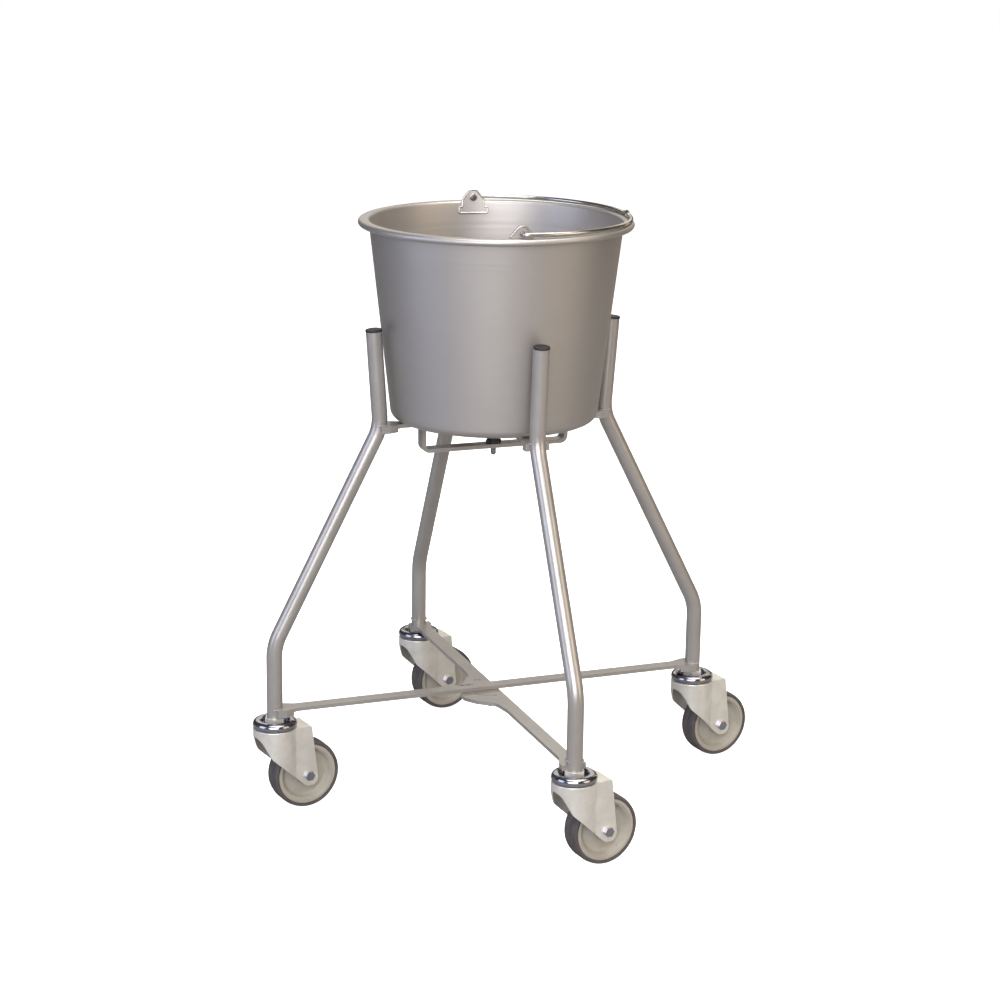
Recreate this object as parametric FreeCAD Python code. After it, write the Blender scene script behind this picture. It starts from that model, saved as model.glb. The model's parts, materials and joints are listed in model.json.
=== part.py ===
import FreeCAD, Part
import math
import os

# Cleaning bucket in a folding stand on four swivel castors, in millimetres.
# A steel pail with a wire bail stands on two crossing frames. Each frame is a pair of bent
# tube legs joined by an upper and a lower bar. The frames turn on each other about one
# upright axis, so that the stand folds flat, and a latch plate holds it open.
# Everything is drawn about that axis, with the front leg at -Y and the right leg at +X,
# and is moved at the end so that the origin is the middle of the footprint on the floor.

V = FreeCAD.Vector

# ---- directions of the four legs, as turns about the stand's axis ----
LEGS = {"right": 0.0, "back": 90.0, "left": 180.0, "front": -90.0}

# ---- castors ----
TRAIL = 35.0
TRAIL_TURN = 9.0  # all four trail this way, from the right-hand direction
WHEEL_D = 80.0
TREAD_W = 25.0
TREAD_ROUND = 5.0
RIM_D = WHEEL_D - 9.0
RIM_BED_D = RIM_D - 6.0
RIM_RING_W = TREAD_W - 2.4
RIM_RING_IN_D = RIM_BED_D - 4.0
RIM_WEB = 7.0
HUB_D = 24.0
SLEEVE_D = 10.0
AXLE_D = 6.0
AXLE_PLAY = 0.05
HEX_AF = 10.0
BOLT_HEAD_H = 4.0
NUT_H = 5.0
FORK_GAP = TREAD_W + 2.8
HUB_W = FORK_GAP - 1.2
CHEEK_T = 2.3
FORK_TOP = WHEEL_D + 19.4
FORK_PLATE_T = 2.5
FORK_RIM_D = 50.0
FORK_RIM_LOW = FORK_TOP - 3.4
FORK_RIM_TOP = FORK_TOP + 0.9
FORK_END_R = 10.0
FORK_BACK = TRAIL + 4.0
DOME_D = FORK_RIM_D + 0.5
DOME_LOW = FORK_RIM_TOP + 0.5
DOME_TOP = DOME_LOW + 8.8
DOME_LIP_R = 15.8
DOME_T = 1.2
RECESS_Z = DOME_LOW + 3.8
STEM_UP = 36.0
KING_PIN_D = 10.0
KING_PIN_FIT = 0.1
KING_HEAD_D = 17.0
KING_HEAD_H = 2.6
COLLAR_AF = 21.0
COLLAR_H = 7.4
BALL_D = 2.6
BALLS = 20
BALL_RING_R = 18.5

# ---- bucket's own sizes ----
WALL = 0.8
BUCKET_H = 225.8
BASE_R = 117.4  # inside of the wall just above the bottom corner
BASE_CORNER_R = 10.0
OPENING_R = BASE_R + 24.6  # inside of the wall at the rim
WALL_SLOPE = (OPENING_R - BASE_R) / (BUCKET_H - BASE_CORNER_R)
BEAD_W = 12.4
BEAD_H = 7.5
BEAD_OPEN = 4.0  # gap between the curled lip and the bead's inner side

# ---- legs ----
TUBE_D = 18.0
TUBE_WALL = 1.5
FOOT_R = 261.4  # foot of each leg from the stand's axis
FOOT_Z = RECESS_Z + COLLAR_H  # lower end of the tube
LOWER_BEND_Z = FOOT_Z + 85.0
LOWER_BEND_R = 60.0
WAIST_R = BASE_R + 18.3  # corner of the upper bend, from the stand's axis
WAIST_Z = FOOT_Z + 330.0
UPPER_BEND_R = 50.0
POST_TOP_R = WAIST_R + 7.7
POST_TOP_Z = WAIST_Z + 109.5
STEM_FIT = 0.05  # between the castor's plug and the inside of the tube
STEM_D = TUBE_D - 2 * (TUBE_WALL + STEM_FIT)

# ---- tube caps ----
CAP_LID = 2.6
CAP_OVERLAP = 0.35  # how far the lid stands proud of the tube
CAP_PLUG = 14.0
CAP_DISH = 0.7
CAP_FIT = 0.05

# ---- bars: pressed channels, open below ----
BAR_W = 16.0
SHEET = 1.6
SADDLE_W = 28.0
SADDLE_DEPTH = 8.5
LATCH_SADDLE_DEPTH = 6.1
FLARE = 16.0  # length over which the bar widens to its saddle
UPPER_BAR_TOP = WAIST_Z + 3.4
UPPER_BAR_H = 4.5
DROP_TOP = UPPER_BAR_TOP - 31.2  # upper face of the dropped bar's low stretch
DROP_HALF = 88.3  # outer face of each upright of the drop, from the axis
DROP_BEND = 9.0
LATCH_BAR_TOP = FOOT_Z + 6.2
LOWER_BAR_H = 4.2
SLIDE_GAP = 0.3  # between pieces that move past each other

# ---- latch plate on the lower front-back bar: x towards the front, y towards the right ----
FAN = [
    (78.0, -8.0, 30.0),
    (53.0, -12.0, 12.0),
    (38.5, -31.5, 26.0),
    (22.0, -41.0, 8.0),
    (9.0, -39.5, 4.0),
    (-14.0, -31.5, 5.0),
    (-47.0, -10.5, 10.0),
    (-56.0, -8.0, 10.0),
]
TONGUE_SLIT = [(14.0, -24.0), (20.0, -20.5), (25.0, -13.0), (27.5, -3.2)]
SMALL_SLIT = [(-26.5, -9.0), (-31.0, -8.4), (-31.6, -3.4), (-27.0, -2.6)]
SLIT_W = 1.3
TONGUE_HOLE_D = 3.2
STOP_AT = (-33.0, -25.0)  # places of the two stops along the plain bar
STOP_W = 6.0
STOP_TOP_OVER_BAR = 0.9
STOP_FRONT = 4.6  # stop's faces, from the plain bar's middle line
STOP_BACK = 11.0
NOTCH_DEPTH = BAR_W / 2 - STOP_FRONT + 1.6
NOTCH_SIDE = 2.4

# ---- pivots ----
PIN_D = 6.0
PIN_FIT = 0.05
UPPER_PIN_END = DROP_TOP - 14.2
LOWER_PIN_END = LATCH_BAR_TOP - 23.6
BUSH_D = 12.0
BUSH_FLANGE_D = 18.5
BUSH_FLANGE_H = 3.6
BUSH_LOBES = 6
LOBE_R = 2.4
WASHER_D = 12.0
WASHER_H = 1.2
WASHER_FIT = 0.01

# ---- bucket's place ----
BUCKET_BOTTOM = UPPER_BAR_TOP + SLIDE_GAP
BUCKET_TOP = BUCKET_BOTTOM + BUCKET_H

# ---- bail ears ----
EAR_TURN = -9.3  # ears stand this far round from the front and back legs
EAR_T = 1.5
EAR_FOOT_W = 36.0
EAR_FOOT_H = 9.0
EAR_FOOT_Z = BUCKET_TOP - 15.0
EAR_NECK_W = 28.0
EAR_TIP_R = 9.0
PIVOT_Z = BUCKET_TOP + 4.5
EAR_WALL_GAP = 0.15
EAR_FACE_R = OPENING_R + WALL_SLOPE * (PIVOT_Z - BUCKET_TOP) - EAR_WALL_GAP

# ---- bail ----
WIRE_D = 5.0
EAR_HOLE_D = WIRE_D + 0.8
BAIL_R = OPENING_R + BEAD_W / 2 + 1.8
BAIL_TURN_IN = 4.5
BAIL_SAG = 1.7  # the bail's middle rests this much lower than its pivots
HEAD_D = WIRE_D + 3.5
HEAD_H = 2.0
HEAD_GAP = 1.0


# ---------------------------------------------------------------- drawing helpers
def rounded_edges(points, closed):
    """Edges through points (x, y, z, corner radius), with an arc at each corner."""
    places = [V(*p[:3]) for p in points]
    count = len(points)
    starts, ends, arcs = {}, {}, {}
    for i in range(count):
        starts[i] = ends[i] = places[i]
        radius = points[i][3]
        if radius <= 0 or (not closed and i in (0, count - 1)):
            continue
        back = (places[i - 1] - places[i]).normalize()
        ahead = (places[(i + 1) % count] - places[i]).normalize()
        half = back.getAngle(ahead) / 2
        reach = radius / math.tan(half)
        bisector = (back + ahead).normalize()
        middle = places[i] + bisector * (radius / math.sin(half) - radius)
        starts[i] = places[i] + back * reach
        ends[i] = places[i] + ahead * reach
        arcs[i] = Part.Arc(starts[i], middle, ends[i]).toShape()
    edges = []
    for i in range(count if closed else count - 1):
        if i in arcs:
            edges.append(arcs[i])
        after = (i + 1) % count
        if (starts[after] - ends[i]).Length > 1e-6:
            edges.append(Part.makeLine(ends[i], starts[after]))
    return edges


def flat(points, z=0.0):
    """A face on a level plane with rounded corners, from (x, y, corner radius)."""
    return Part.Face(Part.Wire(rounded_edges([(x, y, z, r) for x, y, r in points], True)))


def profile(points):
    """A face on the XZ plane with rounded corners, from (x, z, corner radius)."""
    return Part.Face(Part.Wire(rounded_edges([(x, 0, z, r) for x, z, r in points], True)))


def pressed(points, thickness):
    """A sheet's face on the XZ plane, from one side's corners (x, z, radius) in order.

    The sheet lies to the right of the way the corners run, and keeps its thickness round them.
    """
    other = []
    last = len(points) - 1
    for i, (x, z, radius) in enumerate(points):
        here = V(x, 0, z)
        before = here - V(points[i - 1][0], 0, points[i - 1][1]) if i else None
        after = V(points[i + 1][0], 0, points[i + 1][1]) - here if i < last else None
        ways = [w.normalize() for w in (before, after) if w]
        rights = [V(w.z, 0, -w.x) for w in ways]
        if len(ways) == 1:
            there, turn = here + rights[0] * thickness, 0
        else:
            middle = (rights[0] + rights[1]).normalize()
            there = here + middle * (thickness / middle.dot(rights[0]))
            turn = ways[0].x * ways[1].z - ways[0].z * ways[1].x
        bigger = radius + math.copysign(thickness, turn) if turn else 0
        other.append((there.x, there.z, max(bigger, 0) if radius else 0))
    return profile(list(points) + list(reversed(other)))


def rod(radius, low, high, x=0.0, y=0.0):
    """An upright cylinder between two heights."""
    return Part.makeCylinder(radius, high - low, V(x, y, low))


def turned(shape, degrees, axis=V(0, 0, 1), at=V(0, 0, 0)):
    """A copy of shape, turned."""
    copy = shape.copy()
    copy.rotate(at, axis, degrees)
    return copy


def hexagon(across_flats, low, high):
    """An upright hexagonal prism with its top corners taken off."""
    corner = across_flats / math.sqrt(3)
    points = [
        (corner * math.cos(math.radians(a)), corner * math.sin(math.radians(a)), 0)
        for a in range(0, 360, 60)
    ]
    prism = flat(points, low).extrude(V(0, 0, high - low))
    chamfer = corner - across_flats / 2
    cone = Part.makeCone(
        corner + (high - low), corner - chamfer, high - low + chamfer, V(0, 0, low)
    )
    return prism.common(cone)


def swept(edges, radius, start, heading):
    """A round bar of that radius along a path."""
    ring = Part.Wire(Part.makeCircle(radius, start, heading))
    return Part.Wire(edges).makePipeShell([ring], True, False)


# ---------------------------------------------------------------- legs
def leg_path():
    """Corners of a leg's middle line, for a leg at +X, foot first."""
    return [
        (FOOT_R, 0, FOOT_Z, 0),
        (FOOT_R, 0, LOWER_BEND_Z, LOWER_BEND_R),
        (WAIST_R, 0, WAIST_Z, UPPER_BEND_R),
        (POST_TOP_R, 0, POST_TOP_Z, 0),
    ]


def leg_solid(radius):
    """A leg at +X as a round bar of that radius."""
    return swept(rounded_edges(leg_path(), False), radius, V(FOOT_R, 0, FOOT_Z), V(0, 0, 1))


def leg():
    """Bent tube leg."""
    return leg_solid(TUBE_D / 2).cut(leg_solid(TUBE_D / 2 - TUBE_WALL))


def post_lean():
    """How far the post leans outwards, in degrees."""
    return math.degrees(math.atan2(POST_TOP_R - WAIST_R, POST_TOP_Z - WAIST_Z))


def cap():
    """Plastic cap, with a plug inside the tube and a slightly dished lid."""
    lid_r = TUBE_D / 2 + CAP_OVERLAP
    plug_r = TUBE_D / 2 - TUBE_WALL - CAP_FIT
    lid = rod(lid_r, 0, CAP_LID)
    lid = lid.makeFillet(CAP_LID * 0.4, [lid.Edges[0]])
    dish_r = (lid_r * lid_r * 0.6 + CAP_DISH * CAP_DISH) / (2 * CAP_DISH)
    dish = Part.makeSphere(dish_r, V(0, 0, CAP_LID + dish_r - CAP_DISH))
    plug = rod(plug_r, -CAP_PLUG, 0).cut(rod(plug_r - 2, -CAP_PLUG, -2))
    piece = lid.cut(dish).fuse(plug).removeSplitter()
    piece.rotate(V(0, 0, 0), V(0, 1, 0), post_lean())
    piece.translate(V(POST_TOP_R, 0, POST_TOP_Z))
    return piece


# ---------------------------------------------------------------- bars
def waist_centre_r():
    """Radius of the tube's middle line where it stands closest to the axis."""
    turn = math.radians(post_lean()) + math.atan2(FOOT_R - WAIST_R, WAIST_Z - LOWER_BEND_Z)
    return WAIST_R + UPPER_BEND_R * (1 / math.cos(turn / 2) - 1)


def end_points(reach, side):
    """Corners of a bar's widened end at x = reach, listed anticlockwise from above."""
    w, s = BAR_W / 2, SADDLE_W / 2
    inward = reach - TUBE_D / 2
    corners = [
        (inward - FLARE, -w, 12.0),
        (inward - 1.0, -s, 4.0),
        (reach, -s, 1.0),
        (reach, s, 1.0),
        (inward - 1.0, s, 4.0),
        (inward - FLARE, w, 12.0),
    ]
    return [(side * x, side * y, r) for x, y, r in corners]


def channel(outline, top, height, reach, tube, depth=SADDLE_DEPTH):
    """Pressed channel of that outline, open below, with saddles of that depth on the tubes."""
    body = outline.copy()
    body.translate(V(0, 0, top - height))
    body = body.extrude(V(0, 0, height))
    deep = outline.copy()
    deep.translate(V(0, 0, top - depth))
    deep = deep.extrude(V(0, 0, depth))
    inner = outline.makeOffset2D(-SHEET)
    inner.translate(V(0, 0, top - 2 * depth))
    hollow = inner.extrude(V(0, 0, 2 * depth - SHEET))
    collar_r = TUBE_D / 2 + SHEET
    shape = body
    for side in (1, -1):
        zone = Part.makeBox(
            FLARE + TUBE_D, SADDLE_W, 3 * depth,
            V(side * reach - (FLARE + TUBE_D) * (1 + side) / 2, -SADDLE_W / 2, top - 2 * depth),
        )
        zone = zone.cut(Part.makeBox(
            FLARE, BAR_W + 4, 3 * depth,
            V(side * (reach - TUBE_D) - FLARE * (1 + side) / 2, -BAR_W / 2 - 2, top - 2 * depth),
        ))
        shape = shape.fuse(deep.common(zone))
    shape = shape.cut(hollow)
    for side in (1, -1):
        collar = rod(collar_r, top - depth, top, side * reach)
        shape = shape.fuse(collar.common(deep))
        shape = shape.cut(tube if side == 1 else turned(tube, 180))
    return shape.removeSplitter()


def straight_bar():
    """Upper bar from the front leg to the back leg."""
    reach = waist_centre_r()
    outline = flat(end_points(reach, 1) + end_points(reach, -1))
    return channel(outline, UPPER_BAR_TOP, UPPER_BAR_H, reach, leg_solid(TUBE_D / 2))


def dropped_bar():
    """Upper bar from the left leg to the right leg, which drops at its middle."""
    reach = waist_centre_r()
    outline = flat(end_points(reach, 1) + end_points(reach, -1))
    ends = channel(outline, UPPER_BAR_TOP, UPPER_BAR_H, reach, leg_solid(TUBE_D / 2))
    ends = ends.cut(Part.makeBox(
        2 * DROP_HALF, 2 * BAR_W, 4 * UPPER_BAR_H,
        V(-DROP_HALF, -BAR_W, UPPER_BAR_TOP - 3 * UPPER_BAR_H),
    ))
    t, top, low = UPPER_BAR_H, UPPER_BAR_TOP, DROP_TOP - UPPER_BAR_H
    upright = DROP_HALF
    over = upright + 4.0
    half = [
        (over, top, 0), (upright - t, top, DROP_BEND), (upright - t, DROP_TOP, DROP_BEND - t),
    ]
    under = [(upright, low, DROP_BEND), (upright, top - t, DROP_BEND - t), (over, top - t, 0)]
    left = [(-x, z, r) for x, z, r in reversed(half)]
    left_under = [(-x, z, r) for x, z, r in reversed(under)]
    strip = profile(half + left + left_under + under)
    strip.translate(V(0, -BAR_W / 2, 0))
    strip = strip.extrude(V(0, BAR_W, 0))
    bore = rod(PIN_D / 2 + PIN_FIT, low - 1, DROP_TOP + 1)
    return ends.fuse(strip).cut(bore).removeSplitter()


def slot(points, width, low, high):
    """A slot of that width along a line of points (x, y)."""
    pieces = [rod(width / 2, low, high, x, y) for x, y in points]
    for (x0, y0), (x1, y1) in zip(points, points[1:]):
        along = V(x1 - x0, y1 - y0, 0)
        side = V(-along.y, along.x, 0).normalize() * (width / 2)
        a, b = V(x0, y0, low), V(x1, y1, low)
        ring = Part.makePolygon([a - side, b - side, b + side, a + side, a - side])
        pieces.append(Part.Face(ring).extrude(V(0, 0, high - low)))
    return pieces[0].multiFuse(pieces[1:])


def latch_bar():
    """Lower bar from front to back, widened on its left side into the latch plate."""
    reach, top = FOOT_R, LATCH_BAR_TOP
    tube = rod(TUBE_D / 2, FOOT_Z - 5, top + 5, FOOT_R)
    corners = end_points(reach, 1)
    outline = flat(corners + end_points(reach, -1) + list(reversed(FAN)))
    bar = channel(outline, top, LOWER_BAR_H, reach, tube, LATCH_SADDLE_DEPTH)
    low, high = top - 2 * LOWER_BAR_H, top + 1
    bar = bar.cut(slot(TONGUE_SLIT, SLIT_W, low, high))
    bar = bar.cut(rod(TONGUE_HOLE_D / 2, low, high, *TONGUE_SLIT[-1]))
    bar = bar.cut(slot(SMALL_SLIT, SLIT_W, low, high))
    bar = bar.cut(rod(PIN_D / 2 + PIN_FIT, low, high))
    stop_top = top + SLIDE_GAP + LOWER_BAR_H + STOP_TOP_OVER_BAR
    for place in STOP_AT:
        stop = Part.Face(Part.makePolygon([
            V(-STOP_FRONT, place, top - SHEET), V(-STOP_FRONT, place, stop_top),
            V(-STOP_BACK, place, top), V(-STOP_BACK, place, top - SHEET),
            V(-STOP_FRONT, place, top - SHEET),
        ]))
        stop.translate(V(0, -STOP_W / 2, 0))
        bar = bar.fuse(stop.extrude(V(0, STOP_W, 0)))
    return turned(bar.removeSplitter(), -90)


def plain_bar():
    """Lower bar from left to right, which lies on the latch plate and is notched for its stops."""
    reach, top = FOOT_R, LATCH_BAR_TOP + SLIDE_GAP + LOWER_BAR_H
    tube = rod(TUBE_D / 2, FOOT_Z - 5, top + 5, FOOT_R)
    outline = flat(end_points(reach, 1) + end_points(reach, -1))
    bar = channel(outline, top, LOWER_BAR_H, reach, tube)
    start = min(STOP_AT) - STOP_W / 2 - NOTCH_SIDE
    length = max(STOP_AT) - min(STOP_AT) + STOP_W + 2 * NOTCH_SIDE
    notch = Part.makeBox(
        length, 2 * NOTCH_DEPTH, 3 * LOWER_BAR_H,
        V(start, BAR_W / 2 - NOTCH_DEPTH, top - 2 * LOWER_BAR_H),
    )
    return bar.cut(notch)


# ---------------------------------------------------------------- pivots
def upper_pin():
    """Pin fixed under the straight bar, with a rounded lower end."""
    low, r = UPPER_PIN_END, PIN_D / 2
    return rod(r, low + r, UPPER_BAR_TOP - SHEET).fuse(Part.makeSphere(r, V(0, 0, low + r))).removeSplitter()


def upper_bush():
    """Plastic spacer on the upper pin, with a lobed flange on the dropped bar."""
    low = DROP_TOP + SLIDE_GAP
    high = UPPER_BAR_TOP - SHEET - PIN_FIT
    lobes = rod(BUSH_FLANGE_D / 2 - 2 * LOBE_R / 3, low, low + BUSH_FLANGE_H)
    for i in range(BUSH_LOBES):
        angle = 2 * math.pi * i / BUSH_LOBES
        reach = BUSH_FLANGE_D / 2 - LOBE_R
        lobes = lobes.fuse(
            rod(LOBE_R, low, low + BUSH_FLANGE_H, reach * math.cos(angle), reach * math.sin(angle))
        )
    waist = Part.makeCone(
        BUSH_FLANGE_D / 2 - 2, BUSH_D / 2, BUSH_FLANGE_H, V(0, 0, low + BUSH_FLANGE_H)
    )
    bush = lobes.fuse(waist).fuse(rod(BUSH_D / 2, low + BUSH_FLANGE_H, high))
    return bush.cut(rod(PIN_D / 2 + PIN_FIT, low - 1, high + 1)).removeSplitter()


def lower_pin():
    """Pin fixed under the plain bar, through the latch plate, with a rounded end."""
    low, r = LOWER_PIN_END, PIN_D / 2
    high = LATCH_BAR_TOP + SLIDE_GAP + LOWER_BAR_H - SHEET
    return rod(r, low + r, high).fuse(Part.makeSphere(r, V(0, 0, low + r))).removeSplitter()


def lower_washer():
    """Push-on washer that keeps the lower pin in the latch plate."""
    high = LATCH_BAR_TOP - SHEET - SLIDE_GAP
    ring = rod(WASHER_D / 2, high - WASHER_H, high)
    ring = ring.makeChamfer(0.3, [e for e in ring.Edges if e.Curve.TypeId == "Part::GeomCircle"])
    return ring.cut(rod(PIN_D / 2 + WASHER_FIT, high - 2 * WASHER_H, high + 1))


# ---------------------------------------------------------------- bucket and bail
def inner_wall_r(z):
    """Radius of the inside of the bucket's wall at a height."""
    return OPENING_R + WALL_SLOPE * (z - BUCKET_TOP)


def bucket():
    """Drawn steel pail with a flat bottom and a rim curled outwards and under."""
    floor, top = BUCKET_BOTTOM + WALL, BUCKET_TOP
    outer = OPENING_R + BEAD_W
    lip_z = top - BEAD_H
    round_r = BEAD_H / 2 - 1e-3
    inside = [
        (0, floor, 0),
        (inner_wall_r(floor), floor, BASE_CORNER_R - WALL),
        (OPENING_R, top, round_r),
        (outer, top, round_r),
        (outer, lip_z, round_r),
        (OPENING_R + BEAD_OPEN, lip_z, 0),
    ]
    return pressed(inside, WALL).revolve(V(0, 0, 0), V(0, 0, 1), 360)


def ear_front_outline():
    """Outline of an ear as seen from the side of the bucket: (across, height, radius)."""
    foot, neck = EAR_FOOT_W / 2, EAR_NECK_W / 2
    foot_top = EAR_FOOT_Z + EAR_FOOT_H
    tip = PIVOT_Z + EAR_TIP_R
    rise = BUCKET_TOP + 1.0
    right = [
        (foot, EAR_FOOT_Z, 3.0), (foot, foot_top, 3.0), (neck, foot_top, 2.0),
        (neck, rise, 2.0), (3.6, tip, 5.5),
    ]
    return right + [(-x, z, r) for x, z, r in reversed(right)]


def ear():
    """Bail ear at +X: a plate welded inside the wall, which carries on up past the rim."""
    foot_r = inner_wall_r(EAR_FOOT_Z) - EAR_WALL_GAP
    tip_z = PIVOT_Z + 2 * EAR_TIP_R
    tip_r = inner_wall_r(tip_z) - EAR_WALL_GAP
    sheet = pressed([(tip_r, tip_z, 0), (foot_r, EAR_FOOT_Z, 0)], EAR_T)
    half = math.degrees(math.asin((EAR_FOOT_W / 2 + 1) / foot_r))
    band = turned(sheet, -half).revolve(V(0, 0, 0), V(0, 0, 1), 2 * half)
    front = Part.Face(Part.Wire(rounded_edges(
        [(EAR_FACE_R - 20, y, z, r) for y, z, r in ear_front_outline()], True)))
    blank = band.common(front.extrude(V(40, 0, 0)))
    hole = Part.makeCylinder(EAR_HOLE_D / 2, 40, V(EAR_FACE_R - 20, 0, PIVOT_Z), V(1, 0, 0))
    return blank.cut(hole)


def bail():
    """Wire bail from ear to ear, lying on the rim, with a headed end through each ear."""
    start = math.asin(BAIL_TURN_IN / BAIL_R)
    bend = BAIL_TURN_IN / (1 + math.sin(start))
    run_in = BAIL_R * math.cos(start) - bend * math.cos(start)
    head = EAR_FACE_R - EAR_T - HEAD_GAP
    join = V(BAIL_TURN_IN, -BAIL_R * math.cos(start), 0)
    centre = V(bend, -run_in, 0)
    slant = math.radians(225) + start / 2
    middle = centre + V(math.cos(slant), math.sin(slant), 0) * bend
    end = V(0, -run_in, 0)
    first = [
        Part.makeLine(V(0, -head + HEAD_H / 2, 0), end),
        Part.Arc(end, middle, join).toShape(),
    ]
    sweep = Part.Arc(join, V(BAIL_R, 0, 0), V(join.x, -join.y, 0)).toShape()
    last = [
        Part.Arc(V(join.x, -join.y, 0), V(middle.x, -middle.y, 0), V(0, run_in, 0)).toShape(),
        Part.makeLine(V(0, run_in, 0), V(0, head - HEAD_H / 2, 0)),
    ]
    wire = swept(first + [sweep] + last, WIRE_D / 2, V(0, -head + HEAD_H / 2, 0), V(0, -1, 0))
    for side in (1, -1):
        button = Part.makeCylinder(HEAD_D / 2, HEAD_H, V(0, side * (head - HEAD_H), 0), V(0, side, 0))
        button = button.makeFillet(0.7, [e for e in button.Edges if e.Curve.TypeId == "Part::GeomCircle"])
        wire = wire.fuse(button)
    wire = turned(wire.removeSplitter(), math.degrees(math.asin(BAIL_SAG / BAIL_R)), V(0, 1, 0))
    wire.translate(V(0, 0, PIVOT_Z))
    return turned(wire, EAR_TURN)


# ---------------------------------------------------------------- castors, drawn at the axis
def castor_stem():
    """Headed king pin, hexagon collar under the tube and plug inside it."""
    collar = hexagon(COLLAR_AF, RECESS_Z, FOOT_Z)
    plug = rod(STEM_D / 2, FOOT_Z, FOOT_Z + STEM_UP)
    plug = plug.makeChamfer(1.5, [plug.Edges[0]])
    king = rod(KING_PIN_D / 2, FORK_TOP - FORK_PLATE_T - SLIDE_GAP, RECESS_Z)
    head_top = FORK_TOP - FORK_PLATE_T - SLIDE_GAP
    head = rod(KING_HEAD_D / 2, head_top - KING_HEAD_H, head_top)
    head = head.makeFillet(1.2, [head.Edges[2]])
    return collar.multiFuse([plug, king, head]).removeSplitter()


def castor_dome():
    """Pressed upper race of the swivel, a bright rounded ring with a flat recess."""
    wide = DOME_D / 2
    outside = [
        (KING_PIN_D / 2, RECESS_Z, 0),
        (DOME_LIP_R - 1.6, RECESS_Z, 1.0),
        (DOME_LIP_R - 0.6, DOME_TOP, 3.2),
        (wide, DOME_TOP, 5.0),
        (wide, DOME_LOW, 3.4),
        (wide - 3.8, DOME_LOW, 0),
    ]
    return pressed(outside, DOME_T).revolve(V(0, 0, 0), V(0, 0, 1), 360)


def castor_balls():
    """Ring of bearing balls under the dome."""
    z = FORK_RIM_TOP + SLIDE_GAP + BALL_D / 2
    ball = Part.makeSphere(BALL_D / 2, V(BALL_RING_R, 0, z))
    return Part.makeCompound([turned(ball, 360 * i / BALLS) for i in range(BALLS)])


def castor_fork():
    """Pressed steel fork: round lower race whose skirt runs back into two flat cheeks."""
    skirt_r, half = FORK_RIM_D / 2, FORK_GAP / 2
    length = TRAIL + 2 * FORK_END_R
    end_z = WHEEL_D / 2 - FORK_END_R - 2.4
    side = [
        (-skirt_r - 2.0, FORK_TOP, 0),
        (FORK_BACK, FORK_TOP, 2.0),
        (TRAIL + FORK_END_R + 1.5, WHEEL_D / 2 - 4.0, 12.0),
        (TRAIL + FORK_END_R - 1.0, end_z, 8.0),
        (TRAIL - FORK_END_R + 6.5, end_z, 10.0),
        (-skirt_r + 12.0, FORK_TOP - 30.9, 18.0),
        (-skirt_r + 3.5, FORK_TOP - 11.4, 8.0),
        (-skirt_r - 2.0, FORK_TOP - 5.4, 0),
    ]
    cheeks = Part.makeBox(length, 2 * (half + CHEEK_T), FORK_TOP, V(0, -half - CHEEK_T, 0))
    outline = profile(side)
    outline.translate(V(0, -FORK_RIM_D, 0))
    body = rod(skirt_r, 0, FORK_TOP).fuse(cheeks).common(outline.extrude(V(0, 2 * FORK_RIM_D, 0)))
    under = FORK_TOP - FORK_PLATE_T
    between = Part.makeBox(length, 2 * half, under + 1, V(0, -half, -1))
    body = body.cut(rod(skirt_r - CHEEK_T, -1, under).fuse(between))
    race = rod(skirt_r, FORK_RIM_LOW, FORK_RIM_TOP)
    race = race.makeFillet(0.8, [race.Edges[0]]).cut(rod(skirt_r - 3.0, FORK_RIM_LOW - 1, under))
    fork = body.fuse(race)
    fork = fork.cut(rod(KING_PIN_D / 2 + KING_PIN_FIT, FORK_RIM_LOW - 5, FORK_RIM_TOP + 5))
    groove = Part.makeTorus(FORK_RIM_D / 2 - 6.0, 1.6, V(0, 0, FORK_RIM_TOP + 0.4))
    axle = Part.makeCylinder(AXLE_D / 2 + AXLE_PLAY, 80, V(TRAIL, -40, WHEEL_D / 2), V(0, 1, 0))
    return fork.cut(groove).cut(axle).removeSplitter()


def spun(points):
    """A solid of revolution about the axle, from (radius, place along the axle, corner radius)."""
    face = Part.Face(Part.Wire(rounded_edges([(p[0], p[1], 0, p[2]) for p in points], True)))
    solid = face.revolve(V(0, 0, 0), V(0, 1, 0), 360)
    solid.translate(V(TRAIL, 0, WHEEL_D / 2))
    return solid


def wheel_rim():
    """Plastic wheel body: hub, dished web and outer ring that carries the tyre."""
    bore = SLEEVE_D / 2 + AXLE_PLAY
    ring_in, ring_out, bed = RIM_RING_IN_D / 2, RIM_D / 2, RIM_BED_D / 2
    hub, web, ring = HUB_W / 2, RIM_WEB / 2, RIM_RING_W / 2
    half = [
        (bore, hub, 0.5), (HUB_D / 2, hub, 1.0), (HUB_D / 2 + 1.0, web + 2.0, 2.0),
        (ring_in - 4.0, web, 4.0), (ring_in, ring, 0.8), (ring_out, ring, 0.8),
        (ring_out, ring - 2.0, 0.6), (bed, ring - 4.0, 0.6),
    ]
    return spun(half + [(r, -y, c) for r, y, c in reversed(half)])


def tyre():
    """Rubber tread moulded round the wheel body."""
    ring_out, bed, ring = RIM_D / 2, RIM_BED_D / 2, RIM_RING_W / 2
    gap = AXLE_PLAY
    half = [
        (bed + gap, ring - 4.0 - gap, 0.6), (ring_out + gap, ring - 2.0 + gap, 0.6),
        (ring_out + gap, TREAD_W / 2 - 0.6, 0.4), (WHEEL_D / 2 - 1.0, TREAD_W / 2, 1.5),
        (WHEEL_D / 2, TREAD_W / 2 - TREAD_ROUND, TREAD_ROUND * 1.6),
    ]
    return spun(half + [(r, -y, c) for r, y, c in reversed(half)])


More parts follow.
